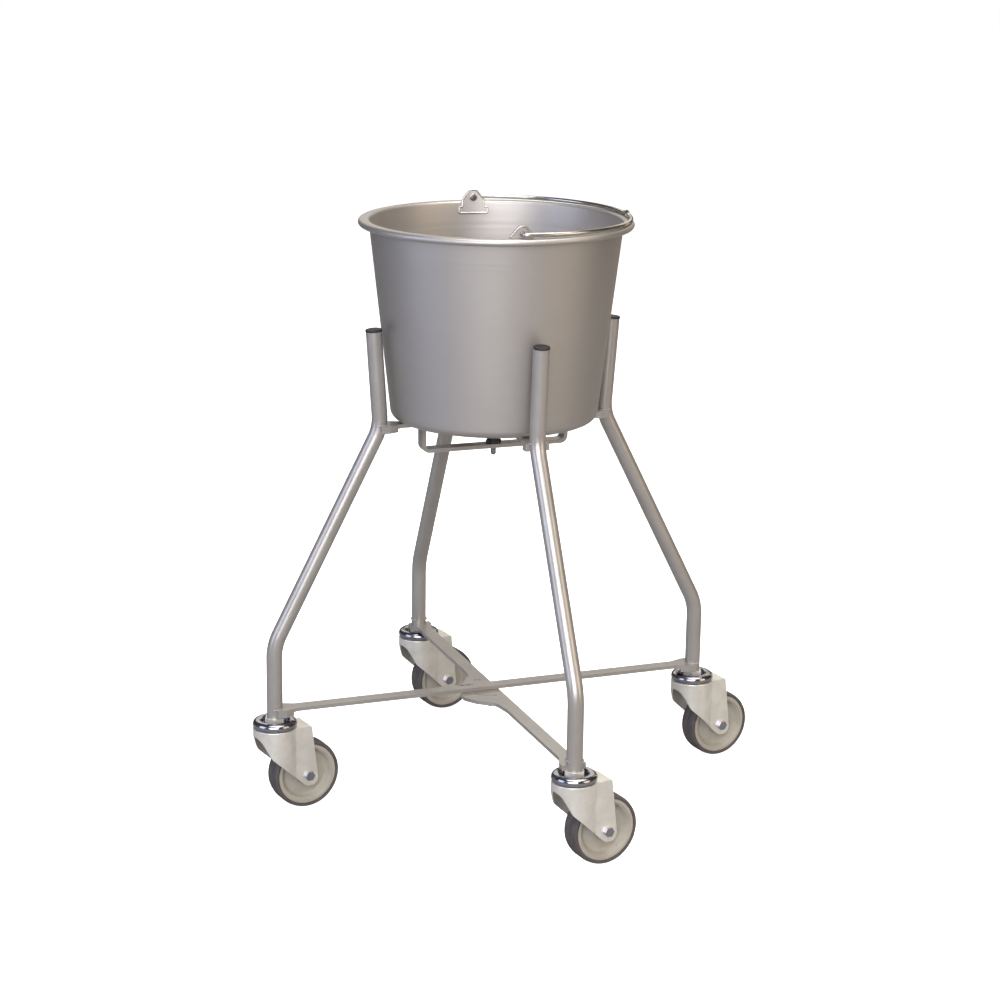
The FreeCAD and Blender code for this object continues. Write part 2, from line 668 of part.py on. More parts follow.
def bearing_sleeve():
    """Steel sleeve clamped between the cheeks, on which the wheel turns."""
    half = FORK_GAP / 2
    return spun([
        (AXLE_D / 2 + AXLE_PLAY, -half, 0), (SLEEVE_D / 2, -half, 0.4),
        (SLEEVE_D / 2, half, 0.4), (AXLE_D / 2 + AXLE_PLAY, half, 0),
    ])


def along_axle(shape, place, outwards):
    """Lays an upright piece along the axle, its base at that place on the axle."""
    copy = turned(shape, -90 * outwards, V(1, 0, 0))
    copy.translate(V(TRAIL, place, WHEEL_D / 2))
    return copy


def axle_bolt():
    """Hexagon bolt through the fork, head on the near side."""
    out = FORK_GAP / 2 + CHEEK_T
    length = 2 * out + NUT_H + 1.0
    head = hexagon(HEX_AF, 0, BOLT_HEAD_H)
    shank = rod(AXLE_D / 2, -length, 0)
    shank = shank.makeChamfer(0.8, [shank.Edges[2]])
    return along_axle(head.fuse(shank).removeSplitter(), -out, -1)


def axle_nut():
    """Hexagon nut on the far side of the fork."""
    nut = hexagon(HEX_AF, 0, NUT_H).cut(rod(AXLE_D / 2 + AXLE_PLAY, -1, NUT_H + 1))
    return along_axle(nut, FORK_GAP / 2 + CHEEK_T, 1)


# ---------------------------------------------------------------- assembly
def stand_pieces():
    """Every piece of the two frames, by node name."""
    pieces = {}
    for name, angle in LEGS.items():
        pieces["leg_" + name] = turned(leg(), angle)
        pieces["leg_cap_" + name] = turned(cap(), angle)
    pieces["upper_bar_straight"] = turned(straight_bar(), 90)
    pieces["upper_bar_dropped"] = dropped_bar()
    pieces["lower_bar_latch"] = latch_bar()
    pieces["lower_bar_plain"] = plain_bar()
    pieces["upper_pivot_pin"] = upper_pin()
    pieces["upper_pivot_bush"] = upper_bush()
    pieces["lower_pivot_pin"] = lower_pin()
    pieces["lower_pivot_washer"] = lower_washer()
    return pieces


def bucket_pieces():
    """The bucket, its ears and its bail, by node name."""
    return {
        "bucket": bucket(),
        "ear_front": turned(ear(), EAR_TURN - 90),
        "ear_back": turned(ear(), EAR_TURN + 90),
        "bail": bail(),
    }


def castor_pieces():
    """The four castors, each piece at its leg and trailing the same way."""
    makers = {
        "castor_stem": castor_stem, "castor_dome": castor_dome, "castor_balls": castor_balls,
        "castor_fork": castor_fork, "wheel_rim": wheel_rim, "tyre": tyre,
        "bearing_sleeve": bearing_sleeve, "axle_bolt": axle_bolt, "axle_nut": axle_nut,
    }
    pieces = {}
    for kind, make in makers.items():
        pattern = turned(make(), TRAIL_TURN)
        for name, angle in LEGS.items():
            copy = pattern.copy()
            way = math.radians(angle)
            copy.translate(V(FOOT_R * math.cos(way), FOOT_R * math.sin(way), 0))
            pieces[kind + "_" + name] = copy
    return pieces


def main():
    """Builds every piece, puts the origin under the middle of the footprint and writes STEP."""
    os.makedirs("parts", exist_ok=True)
    pieces = {**stand_pieces(), **bucket_pieces(), **castor_pieces()}
    box = Part.makeCompound(list(pieces.values())).optimalBoundingBox(False)
    shift = V(-(box.XMin + box.XMax) / 2, -(box.YMin + box.YMax) / 2, -box.ZMin)
    print("stand axis at x %.4f y %.4f, raised %.4f" % (shift.x, shift.y, shift.z))
    print("overall %.1f x %.1f x %.1f mm" % (box.XLength, box.YLength, box.ZLength))
    for name, shape in pieces.items():
        shape.translate(shift)
        if not shape.isValid() or shape.Volume <= 0:
            print("bad solid:", name, shape.ShapeType, round(shape.Volume, 1))
        shape.exportStep("parts/" + name + ".step")
    print(len(pieces), "pieces")


main()
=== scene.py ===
"""Finished look of a cleaning bucket in a folding four-legged stand on swivel castors.

The measured frame is loaded first. The leg tubes, weld beads, pail, bail, wheels and ball
races are then made as finer meshes in the same places, every other part keeps its measured
mesh, and each surface gets the finish of the real material.
"""

import json
import logging
import math
from dataclasses import dataclass
from enum import Enum

import bmesh
import bpy
from mathutils import Matrix, Vector

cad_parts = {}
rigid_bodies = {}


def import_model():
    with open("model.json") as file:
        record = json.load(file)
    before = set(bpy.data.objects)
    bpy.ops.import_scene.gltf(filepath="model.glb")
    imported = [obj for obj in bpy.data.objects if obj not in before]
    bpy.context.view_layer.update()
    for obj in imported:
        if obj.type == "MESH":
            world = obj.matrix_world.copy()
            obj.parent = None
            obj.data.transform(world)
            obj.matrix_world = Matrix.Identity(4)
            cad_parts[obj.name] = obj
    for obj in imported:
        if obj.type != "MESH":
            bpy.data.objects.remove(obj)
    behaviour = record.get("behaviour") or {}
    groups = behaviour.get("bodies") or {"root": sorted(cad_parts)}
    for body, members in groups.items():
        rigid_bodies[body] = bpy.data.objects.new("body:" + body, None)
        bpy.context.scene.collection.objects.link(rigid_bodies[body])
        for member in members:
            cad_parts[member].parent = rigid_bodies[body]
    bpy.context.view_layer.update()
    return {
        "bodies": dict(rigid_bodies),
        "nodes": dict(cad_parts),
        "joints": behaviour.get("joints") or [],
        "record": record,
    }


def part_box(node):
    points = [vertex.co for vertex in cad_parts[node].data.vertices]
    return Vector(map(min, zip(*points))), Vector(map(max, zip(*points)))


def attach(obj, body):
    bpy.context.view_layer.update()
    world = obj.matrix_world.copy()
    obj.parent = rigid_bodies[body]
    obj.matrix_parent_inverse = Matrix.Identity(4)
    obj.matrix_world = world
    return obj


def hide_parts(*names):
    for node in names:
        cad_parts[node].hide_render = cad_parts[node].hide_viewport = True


LOG = logging.getLogger("bucket_stand")
MM = 0.001
UP = Vector((0.0, 0.0, 1.0))
LEGS = ("front", "back", "left", "right")
ON_AXIS = 1e-9  # a radius below this lies on the axis of a turned piece
MERGE = 0.002 * MM  # points closer than this are one
PATCH_RANGE = (0.38, 0.62)  # stretch of the noise that fades one colour into the other
GRAIN_RANGE = (0.3, 0.7)  # stretch of the noise that spans the roughness
RING_DRIFT = 0.02  # how fast ring marks change on their way round
DROP_SPREAD = {"Min": (0.75, 0.9, 0.7), "Max": (1.15, 1.3, 1.1)}  # drops of a weld bead


class Slot(Enum):
    """Finishes of the object, by the name of the record's material slot."""

    FRAME = "frame_coat"
    PLASTIC = "black_plastic"
    PIN = "pin_steel"
    PAIL = "pail_steel"
    WIRE = "wire_steel"
    FORK = "zinc_steel"
    BRIGHT = "bright_zinc"
    RIM = "rim_plastic"
    TREAD = "tread_rubber"


class Grain(Enum):
    """Which way the fine marks of a surface run."""

    EVEN = "even"
    RINGS = "rings"


# ------------------------------------------------------------------ nodes and meshes
def linear(hex_colour: str) -> tuple[float, float, float, float]:
    """Turns an sRGB hex colour into linear values.

    Args:
        hex_colour: colour such as "#a09c98".

    Returns:
        Red, green and blue in linear light, and an alpha of 1.
    """
    parts = [int(hex_colour[i : i + 2], 16) / 255 for i in (1, 3, 5)]
    low = [p / 12.92 if p <= 0.04045 else ((p + 0.055) / 1.055) ** 2.4 for p in parts]
    return (low[0], low[1], low[2], 1.0)


def add_node(
    tree: bpy.types.NodeTree,
    kind: str,
    values: dict | None = None,
    links: dict | None = None,
    **settings: object,
) -> bpy.types.Node:
    """Adds one node with its settings and links.

    Args:
        tree: shader or geometry tree that gets the node.
        kind: Blender's name for the node's type.
        values: socket name or index to the value it holds.
        links: socket name or index to the output socket it is fed from.
        **settings: properties of the node itself.

    Returns:
        The new node.
    """
    node = tree.nodes.new(kind)
    for key, value in settings.items():
        setattr(node, key, value)
    for key, value in (values or {}).items():
        node.inputs[key].default_value = value
    for key, source in (links or {}).items():
        tree.links.new(source, node.inputs[key])
    return node


def rounded_path(
    corners: list[tuple[Vector, float]], steps: int = 10, closed: bool = False
) -> list[Vector]:
    """Points along a line whose corners are rounded.

    Args:
        corners: places and their corner radii, in order.
        steps: stretches in each rounded corner.
        closed: whether the line runs back to its start.

    Returns:
        The points, corner arcs included.
    """
    points: list[Vector] = []
    count = len(corners)
    for i, (here, radius) in enumerate(corners):
        if radius <= 0 or (not closed and i in (0, count - 1)):
            points.append(here.copy())
            continue
        back = (corners[i - 1][0] - here).normalized()
        ahead = (corners[(i + 1) % count][0] - here).normalized()
        half = back.angle(ahead) / 2
        centre = here + (back + ahead).normalized() * (radius / math.sin(half))
        start = here + back * (radius / math.tan(half)) - centre
        end = here + ahead * (radius / math.tan(half)) - centre
        turn = start.angle(end)
        for k in range(steps + 1):
            first = math.sin(turn * (1 - k / steps)) / math.sin(turn)
            second = math.sin(turn * k / steps) / math.sin(turn)
            points.append(centre + start * first + end * second)
    return points


def sheet_outline(line: list[Vector], thickness: float) -> list[Vector]:
    """Closes a line of points (across, up) into the outline of a sheet.

    Args:
        line: one side of the sheet, in order.
        thickness: how thick the sheet is, to the right of the way the line runs.

    Returns:
        The line followed by the sheet's other side in reverse.
    """
    other = []
    last = len(line) - 1
    for i, point in enumerate(line):
        way = (line[min(i + 1, last)] - line[max(i - 1, 0)]).normalized()
        other.append(point + Vector((way.y, -way.x)) * thickness)
    if line[0].x == 0:
        # a sheet that starts on the axis stays on it
        other[0].x = 0.0
    return line + other[::-1]


def finish_mesh(bm: bmesh.types.BMesh, name: str, crease_deg: float = 32.0) -> bpy.types.Object:
    """Turns a bmesh into a smooth piece with its faces pointing outwards.

    Args:
        bm: the geometry, which is freed.
        name: name of the piece.
        crease_deg: edges that turn more than this stay sharp.

    Returns:
        The piece, at the origin.
    """
    bmesh.ops.remove_doubles(bm, verts=bm.verts, dist=MERGE)
    bmesh.ops.recalc_face_normals(bm, faces=bm.faces)
    mesh = bpy.data.meshes.new(name)
    bm.to_mesh(mesh)
    bm.free()
    mesh.shade_smooth()
    mesh.set_sharp_from_angle(angle=math.radians(crease_deg))
    piece = bpy.data.objects.new(name, mesh)
    bpy.context.scene.collection.objects.link(piece)
    return piece


def turned_piece(
    name: str, outline: list[Vector], centre: Vector, axis: Vector, around: int
) -> bpy.types.Object:
    """Spins a closed outline about an axis.

    Args:
        name: name of the piece.
        outline: closed outline of (radius, place along the axis).
        centre: point of the axis from which places are counted.
        axis: direction of the axis.
        around: stretches in a full turn.

    Returns:
        The piece, closed and facing outwards.
    """
    side = axis.orthogonal().normalized()
    other = axis.cross(side).normalized()
    bm = bmesh.new()
    rings = []
    for k in range(around):
        angle = 2 * math.pi * k / around
        way = side * math.cos(angle) + other * math.sin(angle)
        rings.append([bm.verts.new(centre + way * p.x + axis * p.y) for p in outline])
    count = len(outline)
    for k, ring in enumerate(rings):
        after = rings[(k + 1) % around]
        for i in range(count):
            j = (i + 1) % count
            if outline[i].x < ON_AXIS and outline[j].x < ON_AXIS:
                continue
            bm.faces.new((ring[i], after[i], after[j], ring[j]))
    return finish_mesh(bm, name)


# ------------------------------------------------------------------ geometry node trees
class Grower:
    """Builds meshes from paths with geometry node trees made in this script."""

    def __init__(self) -> None:
        """Makes the three trees: round bar, weld bead and ring of balls."""
        self.bar = self._bar_tree()
        self.bead = self._bead_tree()
        self.balls = self._balls_tree()

    @staticmethod
    def _new_tree(
        name: str, numbers: dict[str, str]
    ) -> tuple[bpy.types.NodeTree, bpy.types.Node]:
        """Starts a tree with a path, named sizes and a finish as its inputs.

        Args:
            name: name of the tree.
            numbers: input name to its socket type.

        Returns:
            The tree and its input node.
        """
        tree = bpy.data.node_groups.new(name, "GeometryNodeTree")
        tree.interface.new_socket("Path", in_out="INPUT", socket_type="NodeSocketGeometry")
        for key, kind in {**numbers, "Finish": "NodeSocketMaterial"}.items():
            tree.interface.new_socket(key, in_out="INPUT", socket_type=kind)
        tree.interface.new_socket("Mesh", in_out="OUTPUT", socket_type="NodeSocketGeometry")
        return tree, add_node(tree, "NodeGroupInput")

    @staticmethod
    def _close_tree(tree: bpy.types.NodeTree, entry: bpy.types.Node, shape: object) -> None:
        """Ends a tree: smooth faces, real meshes in place of instances, and the finish.

        Args:
            tree: the tree.
            entry: its input node.
            shape: output socket with the shape made so far.
        """
        smooth = add_node(tree, "GeometryNodeSetShadeSmooth", links={"Geometry": shape})
        real = add_node(
            tree, "GeometryNodeRealizeInstances", links={"Geometry": smooth.outputs["Geometry"]}
        )
        dressed = add_node(
            tree,
            "GeometryNodeSetMaterial",
            links={"Geometry": real.outputs["Geometry"], "Material": entry.outputs["Finish"]},
        )
        add_node(tree, "NodeGroupOutput", links={0: dressed.outputs["Geometry"]})

    def _bar_tree(self) -> bpy.types.NodeTree:
        """Makes the tree that sweeps a round bar along a path.

        Returns:
            The tree.
        """
        tree, entry = self._new_tree(
            "Round_Bar_Along_Path", {"Radius": "NodeSocketFloat", "Sides": "NodeSocketInt"}
        )
        line = add_node(tree, "GeometryNodeMeshToCurve", links={"Mesh": entry.outputs["Path"]})
        ring = add_node(
            tree,
            "GeometryNodeCurvePrimitiveCircle",
            links={"Radius": entry.outputs["Radius"], "Resolution": entry.outputs["Sides"]},
        )
        bar = add_node(
            tree,
            "GeometryNodeCurveToMesh",
            {"Fill Caps": True},
            {"Curve": line.outputs["Curve"], "Profile Curve": ring.outputs["Curve"]},
        )
        self._close_tree(tree, entry, bar.outputs["Mesh"])
        return tree

    def _bead_tree(self) -> bpy.types.NodeTree:
        """Makes the tree that lays a weld bead, a row of overlapping drops, along a path.

        Returns:
            The tree.
        """
        tree, entry = self._new_tree(
            "Weld_Bead_Along_Path",
            {"Drop": "NodeSocketFloat", "Spacing": "NodeSocketFloat", "Seed": "NodeSocketInt"},
        )
        line = add_node(tree, "GeometryNodeMeshToCurve", links={"Mesh": entry.outputs["Path"]})
        places = add_node(
            tree,
            "GeometryNodeCurveToPoints",
            links={"Curve": line.outputs["Curve"], "Length": entry.outputs["Spacing"]},
            mode="LENGTH",
        )
        drop = add_node(
            tree,
            "GeometryNodeMeshIcoSphere",
            {"Subdivisions": 2},
            {"Radius": entry.outputs["Drop"]},
        )
        spread = add_node(
            tree,
            "FunctionNodeRandomValue",
            DROP_SPREAD,
            {"Seed": entry.outputs["Seed"]},
            data_type="FLOAT_VECTOR",
        )
        drops = add_node(
            tree,
            "GeometryNodeInstanceOnPoints",
            links={
                "Points": places.outputs["Points"],
                "Instance": drop.outputs["Mesh"],
                "Rotation": places.outputs["Rotation"],
                "Scale": spread.outputs["Value"],
            },
        )
        self._close_tree(tree, entry, drops.outputs["Instances"])
        return tree

    def _balls_tree(self) -> bpy.types.NodeTree:
        """Makes the tree that sets balls at equal steps round a closed path.

        Returns:
            The tree.
        """
        tree, entry = self._new_tree(
            "Balls_Round_Race", {"Ball": "NodeSocketFloat", "Count": "NodeSocketInt"}
        )
        line = add_node(tree, "GeometryNodeMeshToCurve", links={"Mesh": entry.outputs["Path"]})
        places = add_node(
            tree,
            "GeometryNodeResampleCurve",
            links={"Curve": line.outputs["Curve"], "Count": entry.outputs["Count"]},
        )
        ball = add_node(
            tree,
            "GeometryNodeMeshIcoSphere",
            {"Subdivisions": 3},
            {"Radius": entry.outputs["Ball"]},
        )
        ring = add_node(
            tree,
            "GeometryNodeInstanceOnPoints",
            links={"Points": places.outputs["Curve"], "Instance": ball.outputs["Mesh"]},
        )
        self._close_tree(tree, entry, ring.outputs["Instances"])
        return tree

    def grow(
        self,
        tree: bpy.types.NodeTree,
        name: str,
        paths: list[list[Vector]],
        closed: bool = False,
        crease_deg: float = 40.0,
        **inputs: object,
    ) -> bpy.types.Object:
        """Runs a tree along some paths and returns the result as a plain piece.

        Args:
            tree: one of this class's trees.
            name: name of the piece.
            paths: lines of points that the tree follows.
            closed: whether each line runs back to its start.
            crease_deg: edges that turn more than this stay sharp.
            **inputs: values of the tree's named inputs.

        Returns:
            The piece, with no modifier left on it.
        """
        verts, edges = [], []
        for path in paths:
            first = len(verts)
            verts += [tuple(p) for p in path]
            edges += [(first + i, first + i + 1) for i in range(len(path) - 1)]
            if closed:
                edges.append((len(verts) - 1, first))
        mesh = bpy.data.meshes.new(name + "_path")
        mesh.from_pydata(verts, edges, [])
        piece = bpy.data.objects.new(name, mesh)
        bpy.context.scene.collection.objects.link(piece)
        modifier = piece.modifiers.new("grow", "NODES")
        modifier.node_group = tree
        sockets = {
            item.name: item.identifier
            for item in tree.interface.items_tree
            if item.item_type == "SOCKET" and item.in_out == "INPUT"
        }
        for key, value in inputs.items():
            modifier[sockets[key]] = value
        modifier[sockets["Finish"]] = None  # the finish is put on by Paint
        bpy.context.view_layer.update()
        evaluated = piece.evaluated_get(bpy.context.evaluated_depsgraph_get())
        result = bpy.data.meshes.new_from_object(evaluated)
        piece.modifiers.remove(modifier)
        piece.data = result
        bpy.data.meshes.remove(mesh)
        result.materials.clear()
        result.shade_smooth()
        result.set_sharp_from_angle(angle=math.radians(crease_deg))
        return piece


# ------------------------------------------------------------------ finishes
@dataclass(frozen=True)
class Finish:
    """A surface finish, from what the real material is and how it was made.

    Attributes:
        name: common name of the material.
        slot: the record's slot it belongs to.
        colour: main sRGB colour.
        shade: second sRGB colour, which the main one drifts towards in patches.
        metallic: 1 for bare metal, 0 for plastic and rubber, between for flake pigment in a
            coat and for a milky skin on metal.
        roughness: middle of the roughness range.
        spread: how far roughness strays each way with the grain.
        patch_mm: size of the patches of colour.
        grain_mm: size of the fine marks.
        relief_mm: depth of the fine marks.
        edge_mm: radius that catches light along pressed and cut edges.
        grain: which way the marks run.
    """

    name: str
    slot: Slot
    colour: str
    shade: str
    metallic: float
    roughness: float
    spread: float
    patch_mm: float
    grain_mm: float
    relief_mm: float
    edge_mm: float = 0.0
    grain: Grain = Grain.EVEN

    def _coordinates(self, tree: bpy.types.NodeTree, centre: Vector) -> object:
        """Coordinates of the fine marks: as they are, or as rings about an upright axis.

        Args:
            tree: the material's tree.
            centre: a point of the axis the rings run round.

        Returns:
            An output socket with the coordinates, in metres.
        """
        place = add_node(tree, "ShaderNodeTexCoord")
        moved = add_node(
            tree, "ShaderNodeMapping", {"Location": -centre}, {"Vector": place.outputs["Object"]}
        )
        if self.grain is Grain.EVEN:
            return moved.outputs["Vector"]
        parts = add_node(
            tree, "ShaderNodeSeparateXYZ", links={"Vector": moved.outputs["Vector"]}
        )
        level = add_node(
            tree,
            "ShaderNodeCombineXYZ",
            links={"X": parts.outputs["X"], "Y": parts.outputs["Y"]},
        )
        reach = add_node(
            tree,
            "ShaderNodeVectorMath",
            links={0: level.outputs["Vector"]},
            operation="LENGTH",
        )
        # the rings fade in and out slowly on their way round
        drift = add_node(
            tree,
            "ShaderNodeMath",
            {1: RING_DRIFT},
            {0: parts.outputs["X"]},
            operation="MULTIPLY",
        )
        rings = add_node(
            tree,
            "ShaderNodeCombineXYZ",
            links={
                "X": reach.outputs["Value"],
                "Y": drift.outputs["Value"],
                "Z": parts.outputs["Z"],
            },
        )
        return rings.outputs["Vector"]

    def material(self, centre: Vector) -> bpy.types.Material:
        """Builds the node material.

        Args:
            centre: a point of the axis that a ring grain runs round.

        Returns:
            The material.
        """
        made = bpy.data.materials.new(self.name)
        made.use_nodes = True
        tree = made.node_tree
        tree.nodes.clear()
        where = self._coordinates(tree, centre)
        place = add_node(tree, "ShaderNodeTexCoord")
        patches = add_node(
            tree,
            "ShaderNodeTexNoise",
            {"Scale": 1 / (self.patch_mm * MM), "Detail": 3.0, "Roughness": 0.55},
            {"Vector": place.outputs["Object"]},
        )
        share = add_node(
            tree,
            "ShaderNodeMapRange",
            {"From Min": PATCH_RANGE[0], "From Max": PATCH_RANGE[1]},
            {"Value": patches.outputs["Fac"]},
        )
        colour = add_node(
            tree,
            "ShaderNodeMix",
            {6: linear(self.colour), 7: linear(self.shade)},
            {0: share.outputs["Result"]},
            data_type="RGBA",
        )
        marks = add_node(
            tree,
            "ShaderNodeTexNoise",
            {"Scale": 1 / (self.grain_mm * MM), "Detail": 2.0, "Roughness": 0.6},
            {"Vector": where},
        )
        rough = add_node(
            tree,
            "ShaderNodeMapRange",
            {
                "From Min": GRAIN_RANGE[0],
                "From Max": GRAIN_RANGE[1],
                "To Min": self.roughness - self.spread,
                "To Max": self.roughness + self.spread,
            },
            {"Value": marks.outputs["Fac"]},
        )
        bump = add_node(
            tree,
            "ShaderNodeBump",
            {"Strength": 1.0, "Distance": self.relief_mm * MM},
            {"Height": marks.outputs["Fac"]},
        )
        if self.edge_mm:
            edge = add_node(
                tree, "ShaderNodeBevel", {"Radius": self.edge_mm * MM}, samples=4
            )
            tree.links.new(edge.outputs["Normal"], bump.inputs["Normal"])
        shader = add_node(
            tree,
            "ShaderNodeBsdfPrincipled",
            {"Metallic": self.metallic},
            {
                "Base Color": colour.outputs[2],
                "Roughness": rough.outputs["Result"],
                "Normal": bump.outputs["Normal"],
            },
        )
        add_node(
            tree, "ShaderNodeOutputMaterial", links={"Surface": shader.outputs["BSDF"]}
        )
        return made


FINISHES = (
    # Polyester powder coat with aluminium flake, sprayed and baked: an even silver-grey with
    # a soft shine. Its orange peel is about 1.5 mm across and is drawn at 3 mm.
    Finish(
        "Powder_Coat_Silver_Grey",
        Slot.FRAME,
        colour="#aaa6a1",
        shade="#a4a09b",
        metallic=0.55,
        roughness=0.31,
        spread=0.03,
        patch_mm=45.0,
        grain_mm=3.0,
        relief_mm=0.004,
    ),
    # Polypropylene, moulded black: a dull surface with a fine spark-eroded grain, about
    # 0.2 mm across and drawn at 0.6 mm.
    Finish(
        "Polypropylene_Black_Moulded",
        Slot.PLASTIC,
        colour="#1b1b1c",
        shade="#232324",
        metallic=0.0,
        roughness=0.48,
        spread=0.06,
        patch_mm=12.0,
        grain_mm=0.6,
        relief_mm=0.03,
        edge_mm=0.4,
    ),
    # Free-cutting steel, turned on a lathe and oiled: mid grey with a tight shine. The tool's
    # marks are about 0.1 mm apart and are drawn at 0.5 mm.
    Finish(
        "Steel_Turned_Pin",
        Slot.PIN,
        colour="#8d8a86",
        shade="#7d7a77",
        metallic=1.0,
        roughness=0.3,
        spread=0.06,
        patch_mm=8.0,
        grain_mm=0.5,
        relief_mm=0.01,
        edge_mm=0.25,
    ),
    # Stainless steel, deep drawn and satin finished on a lathe: broad soft bands of light,
    # with marks that run round the pail. They are 0.1 mm apart and are drawn at 1.6 mm.
    Finish(
        "Stainless_Steel_Satin_Spun",
        Slot.PAIL,
        colour="#b6b2ae",
        shade="#b4b0ac",
        metallic=0.9,
        roughness=0.48,
        spread=0.03,
        patch_mm=90.0,
        grain_mm=1.6,
        relief_mm=0.004,
        grain=Grain.RINGS,
        edge_mm=0.3,
    ),
    # Steel wire, bright drawn: pale and shiny, with a faint drawn skin. Its die marks are
    # under 0.1 mm apart and are drawn at 0.8 mm.
    Finish(
        "Steel_Wire_Bright_Drawn",
        Slot.WIRE,
        colour="#c9c6c0",
        shade="#bab7b2",
        metallic=1.0,
        roughness=0.22,
        spread=0.05,
        patch_mm=15.0,
        grain_mm=0.8,
        relief_mm=0.01,
    ),
    # Mild steel, pressed and bright zinc plated: a milky silver with faint clouds of colour
    # from the passivation, and edges that catch the light. Its grain of under 0.1 mm is drawn
    # at 2.5 mm and very shallow, so that it doesn't break up the shine.
    Finish(
        "Steel_Bright_Zinc_Plated",
        Slot.FORK,
        colour="#f3f0e8",
        shade="#e9e6de",
        metallic=0.78,
        roughness=0.36,
        spread=0.04,
        patch_mm=14.0,
        grain_mm=2.5,
        relief_mm=0.002,
        edge_mm=0.5,
    ),
    # Mild steel, polished before zinc plating: almost a mirror, slightly blue. What is left
    # of the polishing is under 0.1 mm across and is drawn at 1.5 mm.
    Finish(
        "Steel_Polished_Zinc_Plated",
        Slot.BRIGHT,
        colour="#a4a4ab",
        shade="#9c9ca5",
        metallic=1.0,
        roughness=0.17,
        spread=0.04,
        patch_mm=10.0,
        grain_mm=1.5,
        relief_mm=0.01,
        edge_mm=0.35,
    ),
    # Polyamide, moulded light grey: even and slightly waxy, with a faint flow pattern of
    # about 14 mm and a grain of 0.3 mm that is drawn at 1 mm.
    Finish(
        "Polyamide_Light_Grey_Moulded",
        Slot.RIM,
        colour="#aaa599",
        shade="#a39e93",
        metallic=0.0,
        roughness=0.42,
        spread=0.05,
        patch_mm=14.0,
        grain_mm=1.0,
        relief_mm=0.01,
        edge_mm=0.4,
    ),
    # Thermoplastic rubber, moulded on the wheel: dark grey-brown, dull, with fine pits of
    # about 0.3 mm that are drawn at 0.7 mm.
    Finish(
        "Thermoplastic_Rubber_Grey_Brown",
        Slot.TREAD,
        colour="#4b4645",
        shade="#56504e",
        metallic=0.0,
        roughness=0.62,
        spread=0.07,
        patch_mm=10.0,
        grain_mm=0.7,
        relief_mm=0.03,
    ),
)


class Paint:
    """Puts the finishes on pieces and on CAD nodes."""

    def __init__(self, record: dict, nodes: dict, centre: Vector) -> None:
        """Makes every material.

        Args:
            record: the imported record, which gives each node's slot.
            nodes: CAD objects by node name.
            centre: a point of the stand's upright axis.
        """
        self.nodes = nodes
        self.materials = {f.slot: f.material(centre) for f in FINISHES}
        self.node_slots = {
            part["node"]: Slot(part["material_slot"]) for part in record["subparts"]
        }

    def piece(self, piece: bpy.types.Object, slot: Slot) -> None:
        """Gives a new piece one finish."""
        piece.data.materials.clear()
        piece.data.materials.append(self.materials[slot])

    def node(self, name: str) -> None:
        """Gives a CAD node the finish of its own slot."""
        data = self.nodes[name].data
        data.materials.clear()
        data.materials.append(self.materials[self.node_slots[name]])


